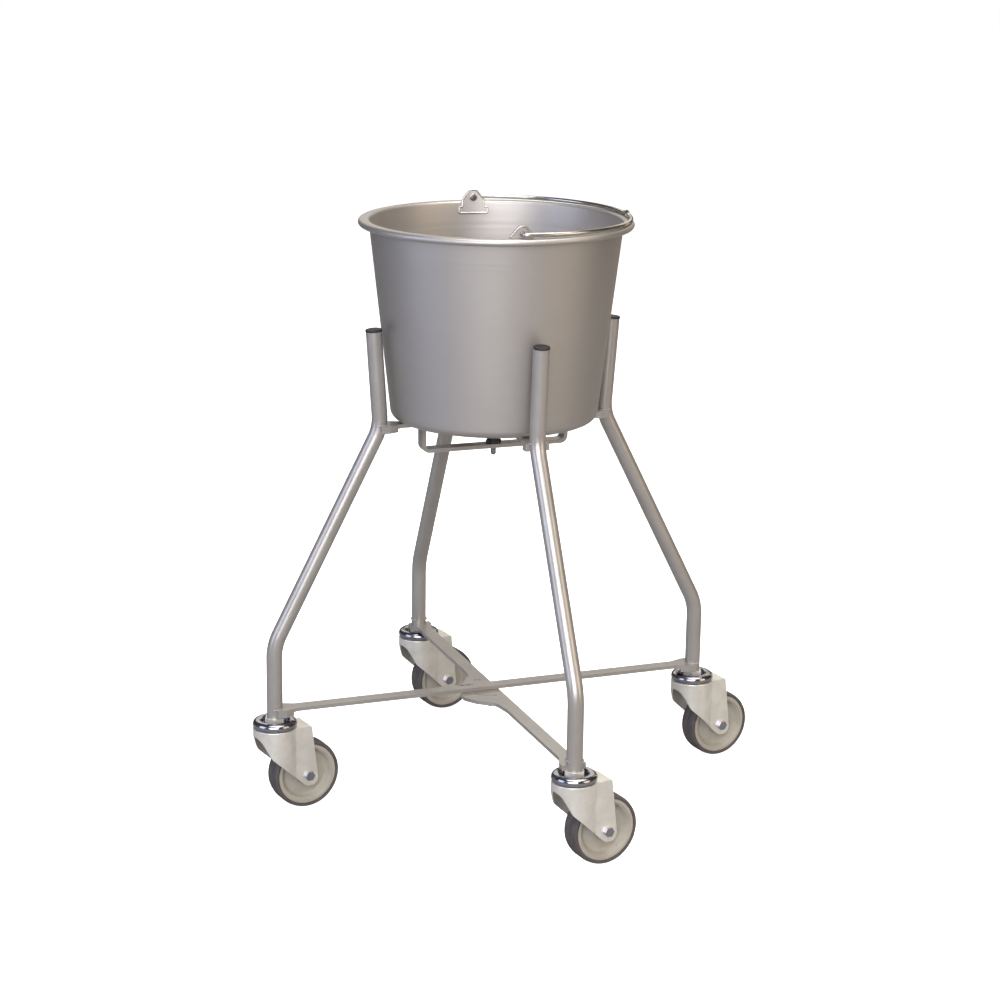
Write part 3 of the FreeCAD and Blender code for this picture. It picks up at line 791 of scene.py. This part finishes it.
# ------------------------------------------------------------------ the stand
@dataclass
class LegTubes:
    """Bent tube legs and the weld beads where the bars' saddles meet them.

    Attributes:
        axis: a point of the stand's upright axis.
        feet: where each castor's swivel axis stands, by leg.
        grower: the geometry node trees.
        paint: the finishes.
        tube_d: outer diameter of the tube.
        waist_r: corner of the upper bend, from the axis.
        top_lean: how much further out the post's top is than that corner.
        lower_bend: height of the lower corner above the tube's end, and its radius.
        upper_bend: height of the upper corner above the tube's end, and its radius.
        post: height of the post's top above the tube's lower end.
        sides: flats that the round tube is drawn with.
        bend_steps: stretches in each bend.
        bar_lean: how much further out than the upper corner the tube is at the upper bar.
        bead_arc: angles from the bar where a bead begins and ends, in degrees.
        bead_steps: stretches in a bead.
        bead_out: how far a bead's middle is outside the tube.
        bead_sunk: how far it is below the bar's top edge.
        drop: radius of a bead's drops, and their spacing.
    """

    axis: Vector
    feet: dict[str, Vector]
    grower: Grower
    paint: Paint
    tube_d: float = 18.0 * MM
    waist_r: float = 135.7 * MM
    top_lean: float = 7.7 * MM
    lower_bend: tuple[float, float] = (85.0 * MM, 60.0 * MM)
    upper_bend: tuple[float, float] = (330.0 * MM, 50.0 * MM)
    post: float = 439.5 * MM
    sides: int = 48
    bend_steps: int = 16
    bar_lean: float = 0.9 * MM
    bead_arc: tuple[float, float] = (38.0, 110.0)
    bead_steps: int = 8
    bead_out: float = 0.6 * MM
    bead_sunk: float = 0.3 * MM
    drop: tuple[float, float] = (1.0 * MM, 1.1 * MM)

    def outwards(self, leg: str) -> Vector:
        """Level direction from the stand's axis to a leg."""
        way = self.feet[leg] - self.axis
        return Vector((way.x, way.y, 0.0)).normalized()

    def centre_line(self, leg: str) -> list[Vector]:
        """Finds the middle line of one leg.

        Args:
            leg: the leg.

        Returns:
            The points, foot first.
        """
        way = self.outwards(leg)
        foot = Vector((self.feet[leg].x, self.feet[leg].y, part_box("leg_" + leg)[0].z))
        waist = Vector((self.axis.x, self.axis.y, foot.z)) + way * self.waist_r
        return rounded_path(
            [
                (foot, 0.0),
                (foot + UP * self.lower_bend[0], self.lower_bend[1]),
                (waist + UP * self.upper_bend[0], self.upper_bend[1]),
                (waist + way * self.top_lean + UP * self.post, 0.0),
            ],
            steps=self.bend_steps,
        )

    def tube(self, leg: str, body: str) -> None:
        """Makes one leg's tube, with its cut end under the cap.

        Args:
            leg: the leg.
            body: the frame's body that it rides on.
        """
        name = "leg_tube_" + leg
        piece = self.grower.grow(
            self.grower.bar,
            name,
            [self.centre_line(leg)],
            Radius=self.tube_d / 2,
            Sides=self.sides,
        )
        self.paint.piece(piece, Slot.FRAME)
        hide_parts("leg_" + leg)
        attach(piece, body)

    def bead_lines(self, bar: str, legs: tuple[str, str], out: float) -> list[list[Vector]]:
        """Lines of the beads between a bar's top edge and the two tubes it holds.

        Args:
            bar: node name of the bar.
            legs: the two legs.
            out: how far from the axis the tube's middle is at the bar.

        Returns:
            Two short arcs for each leg, on the top of the saddle.
        """
        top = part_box(bar)[1].z
        start, end = self.bead_arc
        reach = self.tube_d / 2 + self.bead_out
        lines = []
        for leg in legs:
            way = self.outwards(leg)
            side = UP.cross(way)
            centre = Vector((self.axis.x, self.axis.y, top)) + way * out
            for sign in (1, -1):
                arc = []
                for k in range(self.bead_steps + 1):
                    angle = math.radians(start + k * (end - start) / self.bead_steps)
                    arc.append(
                        centre
                        - way * (reach * math.cos(angle))
                        + side * (sign * reach * math.sin(angle))
                        - UP * self.bead_sunk
                    )
                lines.append(arc)
        return lines

    def weld(self, body: str, bars: dict[str, float], legs: tuple[str, str], seed: int) -> None:
        """Lays the beads of one frame.

        Args:
            body: the frame's body.
            bars: bar node to the tube's distance from the axis there.
            legs: the frame's two legs.
            seed: fixes the drops' sizes.
        """
        lines = []
        for bar, reach in bars.items():
            lines += self.bead_lines(bar, legs, reach)
        piece = self.grower.grow(
            self.grower.bead,
            "weld_beads_" + body,
            lines,
            Drop=self.drop[0],
            Spacing=self.drop[1],
            Seed=seed,
        )
        self.paint.piece(piece, Slot.FRAME)
        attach(piece, body)

    def build(self, frames: dict[str, tuple[str, str]]) -> None:
        """Makes every tube and bead.

        Args:
            frames: body name to the two legs it holds.
        """
        foot_r = (self.feet["right"] - self.axis).xy.length
        waist = self.waist_r + self.bar_lean
        bars = {
            "front_back_frame": {"upper_bar_straight": waist, "lower_bar_latch": foot_r},
            "left_right_frame": {"upper_bar_dropped": waist, "lower_bar_plain": foot_r},
        }
        for seed, (body, legs) in enumerate(frames.items()):
            for leg in legs:
                self.tube(leg, body)
                LOG.info("leg tube %s", leg)
            self.weld(body, bars[body], legs, seed)
            LOG.info("weld beads of %s", body)


# ------------------------------------------------------------------ pail and bail
@dataclass
class Pail:
    """Drawn steel pail with a curled rim, spun lines and rolled edges on its bail ears.

    Attributes:
        axis: a point of the stand's upright axis, which is the pail's own.
        ear_way: direction from the axis to the front ear.
        grower: the geometry node trees.
        paint: the finishes.
        wall: sheet thickness.
        base_r: inside radius just above the bottom corner.
        corner_r: inside radius of the bottom corner.
        opening_r: inside radius at the rim.
        bead: width and height of the curled rim.
        bead_gap: how far the curled lip ends from the wall.
        straight: where the straight wall begins above the floor and ends below the top.
        wall_steps: stretches that the straight wall is drawn with.
        curl_steps: stretches in the bottom corner and in each corner of the rim.
        curl_slack: how much smaller the rim's corners are than half its height.
        ear_gap: how far the ears' outer face is inside the wall.
        ear_half: half width of an ear at the rim and at its tip.
        ear_t: thickness of an ear.
        ear_foot: half width of an ear's foot, and how far below the rim it ends and begins.
        ear_high: how far above the rim the ears end.
        ear_shoulder: how far above the rim an ear's sides start to lean in.
        ear_rounds: corner radii of an ear's foot, shoulders and tip.
        edge_r: radius of the rolled edge round an ear.
        edge_sides: flats that the rolled edge is drawn with.
        lines: heights below the top, depths and widths of the spun lines, in millimetres.
        around: flats that the spun sheet is drawn with.
    """

    axis: Vector
    ear_way: Vector
    grower: Grower
    paint: Paint
    wall: float = 0.8 * MM
    base_r: float = 117.4 * MM
    corner_r: float = 10.0 * MM
    opening_r: float = 142.0 * MM
    bead: tuple[float, float] = (12.4 * MM, 7.5 * MM)
    bead_gap: float = 4.0 * MM
    straight: tuple[float, float] = (14.0 * MM, 8.0 * MM)
    wall_steps: int = 100
    curl_steps: int = 12
    curl_slack: float = 0.001 * MM
    ear_gap: float = 0.15 * MM
    ear_half: tuple[float, float] = (14.0 * MM, 3.6 * MM)
    ear_t: float = 1.5 * MM
    ear_foot: tuple[float, float, float] = (18.0 * MM, 15.0 * MM, 6.0 * MM)
    ear_high: float = 13.5 * MM
    ear_shoulder: float = 1.2 * MM
    ear_rounds: tuple[float, float, float] = (1.6 * MM, 2.0 * MM, 4.6 * MM)
    edge_r: float = 1.15 * MM
    edge_sides: int = 12
    lines: tuple[tuple[float, float, float], ...] = (
        (28.0, 0.12, 1.6),
        (34.5, 0.08, 1.4),
        (213.0, 0.12, 2.0),
    )
    around: int = 224

    def wall_r(self, z: float, low: float, high: float) -> float:
        """Finds the inside radius of the wall at a height, with its spun lines.

        Args:
            z: the height.
            low: height of the pail's bottom.
            high: height of its rim's top.

        Returns:
            The radius.
        """
        corner = low + self.corner_r
        radius = self.base_r + (self.opening_r - self.base_r) * (z - corner) / (high - corner)
        for drop, depth, width in self.lines:
            off = (z - (high - drop * MM)) / (width * MM)
            radius += depth * MM * math.exp(-off * off)
        return radius

    def inside_line(self, low: float, high: float) -> list[Vector]:
        """Draws the pail's inner face, from the middle of the floor to the curled lip.

        Args:
            low: height of the pail's bottom.
            high: height of its rim's top.

        Returns:
            Points of (radius, height).
        """
        floor, width, height = low + self.wall, *self.bead
        corner = self.corner_r - self.wall
        start, end = floor + self.straight[0], high - self.straight[1]
        first = rounded_path(
            [
                (Vector((0.0, floor, 0.0)), 0.0),
                (Vector((self.wall_r(floor, low, high), floor, 0.0)), corner),
                (Vector((self.wall_r(start, low, high), start, 0.0)), 0.0),
            ],
            steps=self.curl_steps,
        )
        middle = []
        for k in range(1, self.wall_steps):
            z = start + (end - start) * k / self.wall_steps
            middle.append(Vector((self.wall_r(z, low, high), z, 0.0)))
        curl = height / 2 - self.curl_slack
        outer = self.opening_r + width
        last = rounded_path(
            [
                (Vector((self.wall_r(end, low, high), end, 0.0)), 0.0),
                (Vector((self.opening_r, high, 0.0)), curl),
                (Vector((outer, high, 0.0)), curl),
                (Vector((outer, high - height, 0.0)), curl),
                (Vector((self.opening_r + self.bead_gap, high - height, 0.0)), 0.0),
            ],
            steps=self.curl_steps,
        )
        return [p.xy for p in first + middle + last]

    def shell(self, body: str) -> None:
        """Spins the pail's sheet.

        Args:
            body: the body that it rides on.
        """
        low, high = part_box("bucket")[0].z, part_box("bucket")[1].z
        outline = sheet_outline(self.inside_line(low, high), self.wall)
        piece = turned_piece(
            "pail_shell", outline, Vector((self.axis.x, self.axis.y, 0.0)), UP, self.around
        )
        self.paint.piece(piece, Slot.PAIL)
        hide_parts("bucket")
        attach(piece, body)
        LOG.info("pail shell")

    def ear_edges(self, body: str) -> None:
        """Lays the rolled edge round each ear and round its foot inside the wall.

        Args:
            body: the body that the edges ride on.
        """
        low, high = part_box("bucket")[0].z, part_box("bucket")[1].z
        inset = self.edge_r
        foot_round, shoulder_round, tip_round = self.ear_rounds
        neck, tip = self.ear_half[0] - inset, self.ear_half[1]
        foot = self.ear_foot[0] - inset
        top = high + self.ear_high - inset
        foot_low, foot_top = high - self.ear_foot[1] + inset, high - self.ear_foot[2] - inset
        right = [
            (foot, foot_low, foot_round),
            (foot, foot_top, foot_round),
            (neck, foot_top, foot_round),
            (neck, high + self.ear_shoulder, shoulder_round),
            (tip, top, tip_round),
        ]
        corners = right + [(-x, z, r) for x, z, r in reversed(right)]
        line = rounded_path([(Vector((x, z, 0.0)), r) for x, z, r in corners], closed=True)
        paths = []
        for way in (self.ear_way, -self.ear_way):
            side = UP.cross(way)
            path = []
            for point in line:
                reach = self.wall_r(point.y, low, high) - self.ear_gap - self.ear_t / 2
                out = math.sqrt(reach * reach - point.x * point.x)
                path.append(self.axis.xy.to_3d() + way * out + side * point.x + UP * point.y)
            paths.append(path)
        piece = self.grower.grow(
            self.grower.bar,
            "ear_edges",
            paths,
            closed=True,
            Radius=self.edge_r,
            Sides=self.edge_sides,
        )
        self.paint.piece(piece, Slot.WIRE)
        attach(piece, body)
        LOG.info("ear edges")

    def build(self, body: str) -> None:
        """Makes the pail and the rolled edges of its ears."""
        self.shell(body)
        self.ear_edges(body)


@dataclass
class Bail:
    """Round wire bail that lies on the rim, with headed ends through the ears.

    Attributes:
        pivot: middle of the line between the two ears.
        along: direction of that line, towards the front ear.
        grower: the geometry node trees.
        paint: the finishes.
        wire_d: thickness of the wire.
        reach: radius of the bail's middle line.
        turn_in: where each end bends in towards its ear.
        sag: how much lower than the pivots the middle rests.
        head: width and height of each headed end, and its distance from the middle.
        head_rounds: corner radii of a head at the wire and at its end.
        head_steps: stretches in each rounded corner of a head.
        hump: height and half width of the small hump at the bail's middle.
        sides: flats that the round wire and its heads are drawn with.
        bend_steps: stretches in the bend at each end.
        sweep_steps: stretches in the half circle between the bends.
    """

    pivot: Vector
    along: Vector
    grower: Grower
    paint: Paint
    wire_d: float = 5.0 * MM
    reach: float = 150.0 * MM
    turn_in: float = 4.5 * MM
    sag: float = 1.7 * MM
    head: tuple[float, float, float] = (8.5 * MM, 2.0 * MM, 139.86 * MM)
    head_rounds: tuple[float, float] = (0.6 * MM, 0.7 * MM)
    head_steps: int = 5
    hump: tuple[float, float] = (2.6 * MM, 6.0 * MM)
    sides: tuple[int, int] = (20, 32)
    bend_steps: int = 8
    sweep_steps: int = 300

    def place(self, out: float, along: float) -> Vector:
        """Finds a point of the bail's own plane.

        Args:
            out: distance of the point from the pivot line.
            along: distance of the point from the pivot, along that line.

        Returns:
            The point.
        """
        level = UP.cross(self.along)
        tilt = math.asin(self.sag / self.reach)
        way = level * math.cos(tilt) - UP * math.sin(tilt)
        return self.pivot + way * out + self.along * along

    def line(self) -> list[Vector]:
        """Draws the middle line of the wire.

        Returns:
            The points, from the front head to the back head.
        """
        start = math.asin(self.turn_in / self.reach)
        bend = self.turn_in / (1 + math.sin(start))
        run_in = self.reach * math.cos(start) - bend * math.cos(start)
        inner = self.head[2] - self.head[1] / 2
        ends = []
        for k in range(self.bend_steps + 1):
            angle = math.pi + (math.pi / 2 - start) * k / self.bend_steps
            ends.append((bend + bend * math.cos(angle), run_in - bend * math.sin(angle)))
        front = [self.place(0.0, inner)] + [self.place(out, far) for out, far in ends]
        back = [self.place(out, -far) for out, far in reversed(ends)]
        back.append(self.place(0.0, -inner))
        sweep = []
        for k in range(1, self.sweep_steps):
            angle = -math.pi / 2 + start + (math.pi - 2 * start) * k / self.sweep_steps
            off = self.reach * angle / self.hump[1]
            point = self.place(self.reach * math.cos(angle), -self.reach * math.sin(angle))
            sweep.append(point + UP * (self.hump[0] * math.exp(-off * off)))
        return front + sweep + back

    def build(self, body: str) -> None:
        """Makes the wire with its two heads as one piece.

        Args:
            body: the body that it rides on.
        """
        wire_sides, head_sides = self.sides
        wire = self.grower.grow(
            self.grower.bar,
            "bail_wire",
            [self.line()],
            Radius=self.wire_d / 2,
            Sides=wire_sides,
        )
        width, height, far = self.head
        for side in (1, -1):
            dome = [
                (Vector((0.0, far - height, 0.0)), 0.0),
                (Vector((width / 2, far - height, 0.0)), self.head_rounds[0]),
                (Vector((width / 2, far, 0.0)), self.head_rounds[1]),
                (Vector((0.0, far, 0.0)), 0.0),
            ]
            outline = [p.xy for p in rounded_path(dome, steps=self.head_steps)]
            head = turned_piece(
                "bail_head", outline, self.pivot, self.along * side, head_sides
            )
            bm = bmesh.new()
            bm.from_mesh(wire.data)
            bm.from_mesh(head.data)
            bm.to_mesh(wire.data)
            bm.free()
            bpy.data.objects.remove(head)
        self.paint.piece(wire, Slot.WIRE)
        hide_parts("bail")
        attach(wire, body)
        LOG.info("bail")


# ------------------------------------------------------------------ castors
@dataclass
class Castor:
    """One swivel castor's ball race, wheel body and tyre. Its pressings stay as measured.

    Attributes:
        leg: the leg that it is under.
        swivel: a point of its upright axis.
        hub: middle of the wheel.
        axle: direction of the axle, to the far side.
        grower: the geometry node trees.
        paint: the finishes.
        wheel_d: diameter over the tyre.
        tread_w: width of the tyre.
        tread_round: radius of the tyre's shoulders.
        tread_gap: room between the tyre and the wheel body.
        seam: half width of the tyre's moulding line at its top and bottom, and its depth.
        rim_d: diameter of the wheel body's outer ring.
        bed_d: diameter of the bed that the tyre lies in.
        bed_lip: how far in from the ring's faces its full diameter ends and the bed begins.
        ring_w: width of the outer ring.
        ring_in_d: inside diameter of the outer ring.
        web: thickness of the web.
        hub_d: diameter of the hub.
        hub_w: width of the hub.
        bore_d: diameter of the hub's bore.
        around: flats that wheel body and tyre are drawn with.
        corner_steps: stretches in each rounded corner of their outlines.
        ball_d: diameter of a ball.
        ball_ring_r: radius of the ring of balls.
        balls: number of balls.
        ball_points: points of the ring for each ball.
    """

    leg: str
    swivel: Vector
    hub: Vector
    axle: Vector
    grower: Grower
    paint: Paint
    wheel_d: float = 80.0 * MM
    tread_w: float = 25.0 * MM
    tread_round: float = 8.0 * MM
    tread_gap: float = 0.05 * MM
    seam: tuple[float, float, float] = (0.5 * MM, 0.25 * MM, 0.15 * MM)
    rim_d: float = 71.0 * MM
    bed_d: float = 65.0 * MM
    bed_lip: tuple[float, float] = (2.0 * MM, 4.0 * MM)
    ring_w: float = 22.6 * MM
    ring_in_d: float = 61.0 * MM
    web: float = 7.0 * MM
    hub_d: float = 24.0 * MM
    hub_w: float = 26.6 * MM
    bore_d: float = 10.1 * MM
    around: int = 112
    corner_steps: int = 6
    ball_d: float = 2.6 * MM
    ball_ring_r: float = 18.5 * MM
    balls: int = 20
    ball_points: int = 4

    def spun(self, name: str, half: list[tuple[float, float, float]]) -> bpy.types.Object:
        """Spins a wheel part from one half of its outline.

        Args:
            name: name of the piece.
            half: (radius, place along the axle, corner radius) on the far side.

        Returns:
            The piece.
        """
        corners = [(Vector((r, y, 0.0)), c) for r, y, c in half]
        corners += [(Vector((r, -y, 0.0)), c) for r, y, c in reversed(half)]
        outline = [p.xy for p in rounded_path(corners, self.corner_steps, closed=True)]
        return turned_piece(name, outline, self.hub, self.axle, self.around)

    def wheel_body(self) -> bpy.types.Object:
        """Makes the moulded wheel body: hub, dished web and outer ring, with a moulded step.

        Returns:
            The piece.
        """
        ring_in, ring_out = self.ring_in_d / 2, self.rim_d / 2
        hub, web, ring = self.hub_w / 2, self.web / 2, self.ring_w / 2
        return self.spun(
            "wheel_body_" + self.leg,
            [
                (self.bore_d / 2, hub, 0.5 * MM),
                (self.hub_d / 2, hub, 1.0 * MM),
                (self.hub_d / 2 + 1.0 * MM, web + 2.0 * MM, 2.0 * MM),
                (ring_in - 4.0 * MM, web, 4.0 * MM),
                (ring_in - 0.4 * MM, ring - 1.6 * MM, 0.5 * MM),
                (ring_in + 0.9 * MM, ring - 1.3 * MM, 0.3 * MM),
                (ring_in + 1.2 * MM, ring, 0.4 * MM),
                (ring_out, ring, 0.8 * MM),
                (ring_out, ring - self.bed_lip[0], 0.6 * MM),
                (self.bed_d / 2, ring - self.bed_lip[1], 0.6 * MM),
            ],
        )

    def tread(self) -> bpy.types.Object:
        """Makes the rubber tyre, with a moulding line round its middle.

        Returns:
            The piece.
        """
        bed, ring_out, ring = self.bed_d / 2, self.rim_d / 2, self.ring_w / 2
        gap = self.tread_gap
        outer, half = self.wheel_d / 2, self.tread_w / 2
        seam_top, seam_low, seam_deep = self.seam
        return self.spun(
            "tread_" + self.leg,
            [
                (bed + gap, ring - self.bed_lip[1] - gap, 0.6 * MM),
                (ring_out + gap, ring - self.bed_lip[0] + gap, 0.6 * MM),
                (ring_out + gap, half - 0.6 * MM, 0.4 * MM),
                (outer - 1.0 * MM, half, 1.5 * MM),
                (outer, half - 5.0 * MM, self.tread_round),
                (outer, seam_top, 0.0),
                (outer - seam_deep, seam_low, 0.0),
            ],
        )

    def race(self) -> bpy.types.Object:
        """Makes the ring of bearing balls under the dome.

        Returns:
            The piece.
        """
        low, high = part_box("castor_balls_" + self.leg)
        centre = Vector((self.swivel.x, self.swivel.y, (low.z + high.z) / 2))
        count = self.balls * self.ball_points
        ring = []
        for k in range(count):
            turn = 2 * math.pi * k / count
            way = Vector((math.cos(turn), math.sin(turn), 0.0))
            ring.append(centre + way * self.ball_ring_r)
        return self.grower.grow(
            self.grower.balls,
            "ball_race_" + self.leg,
            [ring],
            closed=True,
            Ball=self.ball_d / 2,
            Count=self.balls,
        )

    def build(self, frame: str) -> None:
        """Makes the three finer pieces and sets each on its body.

        Args:
            frame: body of the frame that holds this castor's stem.
        """
        for piece, slot, node, body in (
            (self.wheel_body(), Slot.RIM, "wheel_rim_", "wheel_" + self.leg),
            (self.tread(), Slot.TREAD, "tyre_", "wheel_" + self.leg),
            (self.race(), Slot.PIN, "castor_balls_", frame),
        ):
            self.paint.piece(piece, slot)
            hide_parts(node + self.leg)
            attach(piece, body)
            LOG.info("castor %s: %s", self.leg, piece.name)


# ------------------------------------------------------------------ studio
@dataclass(frozen=True)
class Lamp:
    """One soft rectangular lamp.

    Attributes:
        name: name of the lamp.
        place: where it hangs, from the stand's axis at the floor.
        size: its width and height.
        power: its power in watts.
        colour: sRGB colour of its light.
    """

    name: str
    place: tuple[float, float, float]
    size: tuple[float, float]
    power: float
    colour: str


LAMPS = (
    Lamp("key", (-1.3, -2.7, 1.5), (2.6, 2.2), 97.0, "#fbfaff"),
    Lamp("left", (-2.9, -0.2, 1.2), (1.6, 2.0), 31.0, "#d3deff"),
    Lamp("right", (2.0, -2.25, 1.2), (1.6, 2.0), 27.0, "#ffe7c8"),
    Lamp("edge", (2.4, 1.4, 1.0), (0.2, 2.0), 3.0, "#ffe6c6"),
    Lamp("top", (0.3, -0.4, 3.2), (2.6, 2.4), 98.0, "#fffdf8"),
    Lamp("back", (1.0, 2.7, 1.7), (3.0, 1.2), 14.0, "#fffaf2"),
)


@dataclass
class Studio:
    """Pale floor, soft lights and the camera.

    Attributes:
        axis: a point of the stand's upright axis.
        azimuth_deg: turn of the camera about the stand, from straight in front.
        distance: level distance from the stand's axis to the camera.
        aside: how far the camera stands to its own right of that line.
        height: height of the camera.
        pitch_deg: how far it looks down.
        roll: its small roll about its own line of sight, in radians.
        lens_mm: focal length.
        sensor_mm: width of the sensor.
        floor_half: half the width of the floor.
        paper: how strongly the floor glows to the camera, so that it is an even white.
        room: strength of the room's own light.
        aim_height: height that the lamps face.
    """

    axis: Vector
    azimuth_deg: float = -20.8
    distance: float = 2.67875
    aside: float = 0.0085
    height: float = 1.0676
    pitch_deg: float = 15.07
    roll: float = 0.0143
    lens_mm: float = 86.78
    sensor_mm: float = 36.0
    floor_half: float = 14.0
    paper: float = 0.94
    room: float = 0.2
    aim_height: float = 0.4

    def camera(self) -> None:
        """Sets up the camera."""
        turn = math.radians(self.azimuth_deg)
        towards = Vector((math.sin(turn), -math.cos(turn), 0.0))
        right = Vector((math.cos(turn), math.sin(turn), 0.0))
        data = bpy.data.cameras.new("camera")
        data.lens = self.lens_mm
        data.sensor_width = self.sensor_mm
        data.dof.use_dof = False
        camera = bpy.data.objects.new("camera", data)
        place = self.axis.xy.to_3d() + towards * self.distance + right * self.aside
        place.z = self.height
        look = (
            Matrix.Rotation(turn, 4, "Z")
            @ Matrix.Rotation(math.pi / 2 - math.radians(self.pitch_deg), 4, "X")
            @ Matrix.Rotation(self.roll, 4, "Z")
        )
        camera.matrix_world = Matrix.Translation(place) @ look
        bpy.context.scene.collection.objects.link(camera)
        bpy.context.scene.camera = camera

    @staticmethod
    def end_tree(
        tree: bpy.types.NodeTree,
        pieces: bpy.types.NodeSocket,
        camera: bpy.types.NodeSocket,
        output: str,
    ) -> None:
        """Ends a tree that shows one shader to the camera and another to the pieces.

        Args:
            tree: the tree of the floor or of the room.
            pieces: shader that lights the pieces and is reflected in them.
            camera: shader that the camera sees.
            output: Blender's name for the tree's output node.
        """
        rays = add_node(tree, "ShaderNodeLightPath")
        both = add_node(
            tree,
            "ShaderNodeMixShader",
            links={0: rays.outputs["Is Camera Ray"], 1: pieces, 2: camera},
        )
        add_node(tree, output, links={"Surface": both.outputs["Shader"]})

    def floor(self) -> None:
        """Lays a wide pale floor."""
        bm = bmesh.new()
        bmesh.ops.create_grid(bm, x_segments=8, y_segments=8, size=self.floor_half)
        floor = finish_mesh(bm, "studio_floor")
        made = bpy.data.materials.new("Paper_White_Matt")
        made.use_nodes = True
        tree = made.node_tree
        tree.nodes.clear()
        paper = add_node(
            tree,
            "ShaderNodeBsdfPrincipled",
            {
                "Base Color": linear("#f4f4f4"),
                "Roughness": 0.9,
                "Emission Color": linear("#ffffff"),
                "Emission Strength": self.paper,
            },
        )
        # what the steel sees of the floor is a mid grey, which keeps its dark edges
        seen = add_node(tree, "ShaderNodeBsdfDiffuse", {"Color": linear("#9c9c9c")})
        self.end_tree(
            tree, seen.outputs["BSDF"], paper.outputs["BSDF"], "ShaderNodeOutputMaterial"
        )
        floor.data.materials.append(made)

    def walls(self) -> None:
        """Sets the soft light of the room: cool from the left, warm from the right."""
        world = bpy.data.worlds.new("studio_world")
        world.use_nodes = True
        tree = world.node_tree
        tree.nodes.clear()
        way = add_node(tree, "ShaderNodeTexCoord")
        parts = add_node(tree, "ShaderNodeSeparateXYZ", links={"Vector": way.outputs["Generated"]})
        across = add_node(
            tree,
            "ShaderNodeMapRange",
            {"From Min": -1.0, "From Max": 1.0},
            {"Value": parts.outputs["X"]},
        )
        tint = add_node(
            tree,
            "ShaderNodeMix",
            {6: linear("#a9b1c8"), 7: linear("#b9a98c")},
            {0: across.outputs["Result"]},
            data_type="RGBA",
        )
        room = add_node(
            tree, "ShaderNodeBackground", {"Strength": self.room}, {"Color": tint.outputs[2]}
        )
        backdrop = add_node(tree, "ShaderNodeBackground", {"Color": linear("#ffffff")})
        self.end_tree(
            tree,
            room.outputs["Background"],
            backdrop.outputs["Background"],
            "ShaderNodeOutputWorld",
        )
        bpy.context.scene.world = world

    def hang(self, lamp: Lamp) -> None:
        """Hangs one lamp so that it faces the bucket.

        Args:
            lamp: the lamp.
        """
        data = bpy.data.lights.new(lamp.name, "AREA")
        data.shape = "RECTANGLE"
        data.size, data.size_y = lamp.size
        data.energy = lamp.power
        data.color = linear(lamp.colour)[:3]
        hung = bpy.data.objects.new(lamp.name, data)
        origin = self.axis.xy.to_3d()
        place = origin + Vector(lamp.place)
        aim = origin + UP * self.aim_height - place
        turn = aim.to_track_quat("-Z", "Y").to_matrix().to_4x4()
        hung.matrix_world = Matrix.Translation(place) @ turn
        hung.visible_camera = False
        bpy.context.scene.collection.objects.link(hung)

    def build(self) -> None:
        """Sets up the whole studio."""
        bpy.context.scene.view_settings.view_transform = "Standard"
        self.walls()
        self.camera()
        self.floor()
        for lamp in LAMPS:
            self.hang(lamp)
        LOG.info("studio")


def main() -> None:
    """Loads the frame, builds every sub-assembly in turn and dresses the rest."""
    logging.basicConfig(level=logging.INFO, format="%(name)s: %(message)s")
    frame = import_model()
    joints = {joint["name"]: joint for joint in frame["joints"]}
    axis = Vector(joints["fold"]["pos_m"])
    paint = Paint(frame["record"], frame["nodes"], Vector((axis.x, axis.y, 0.0)))
    for node in frame["nodes"]:
        paint.node(node)
    LOG.info("%d measured parts dressed", len(frame["nodes"]))
    grower = Grower()
    Studio(axis).build()

    feet = {leg: Vector(joints["swivel_" + leg]["pos_m"]) for leg in LEGS}
    frames = {"front_back_frame": ("front", "back"), "left_right_frame": ("left", "right")}
    LegTubes(axis, feet, grower, paint).build(frames)
    swing = joints["bail_swing"]
    Pail(axis, Vector(swing["axis"]), grower, paint).build("pail")
    Bail(Vector(swing["pos_m"]), Vector(swing["axis"]), grower, paint).build("bail")
    for body, legs in frames.items():
        for leg in legs:
            roll = joints["roll_" + leg]
            Castor(
                leg, feet[leg], Vector(roll["pos_m"]), Vector(roll["axis"]), grower, paint
            ).build(body)


if __name__ == "__main__":
    main()
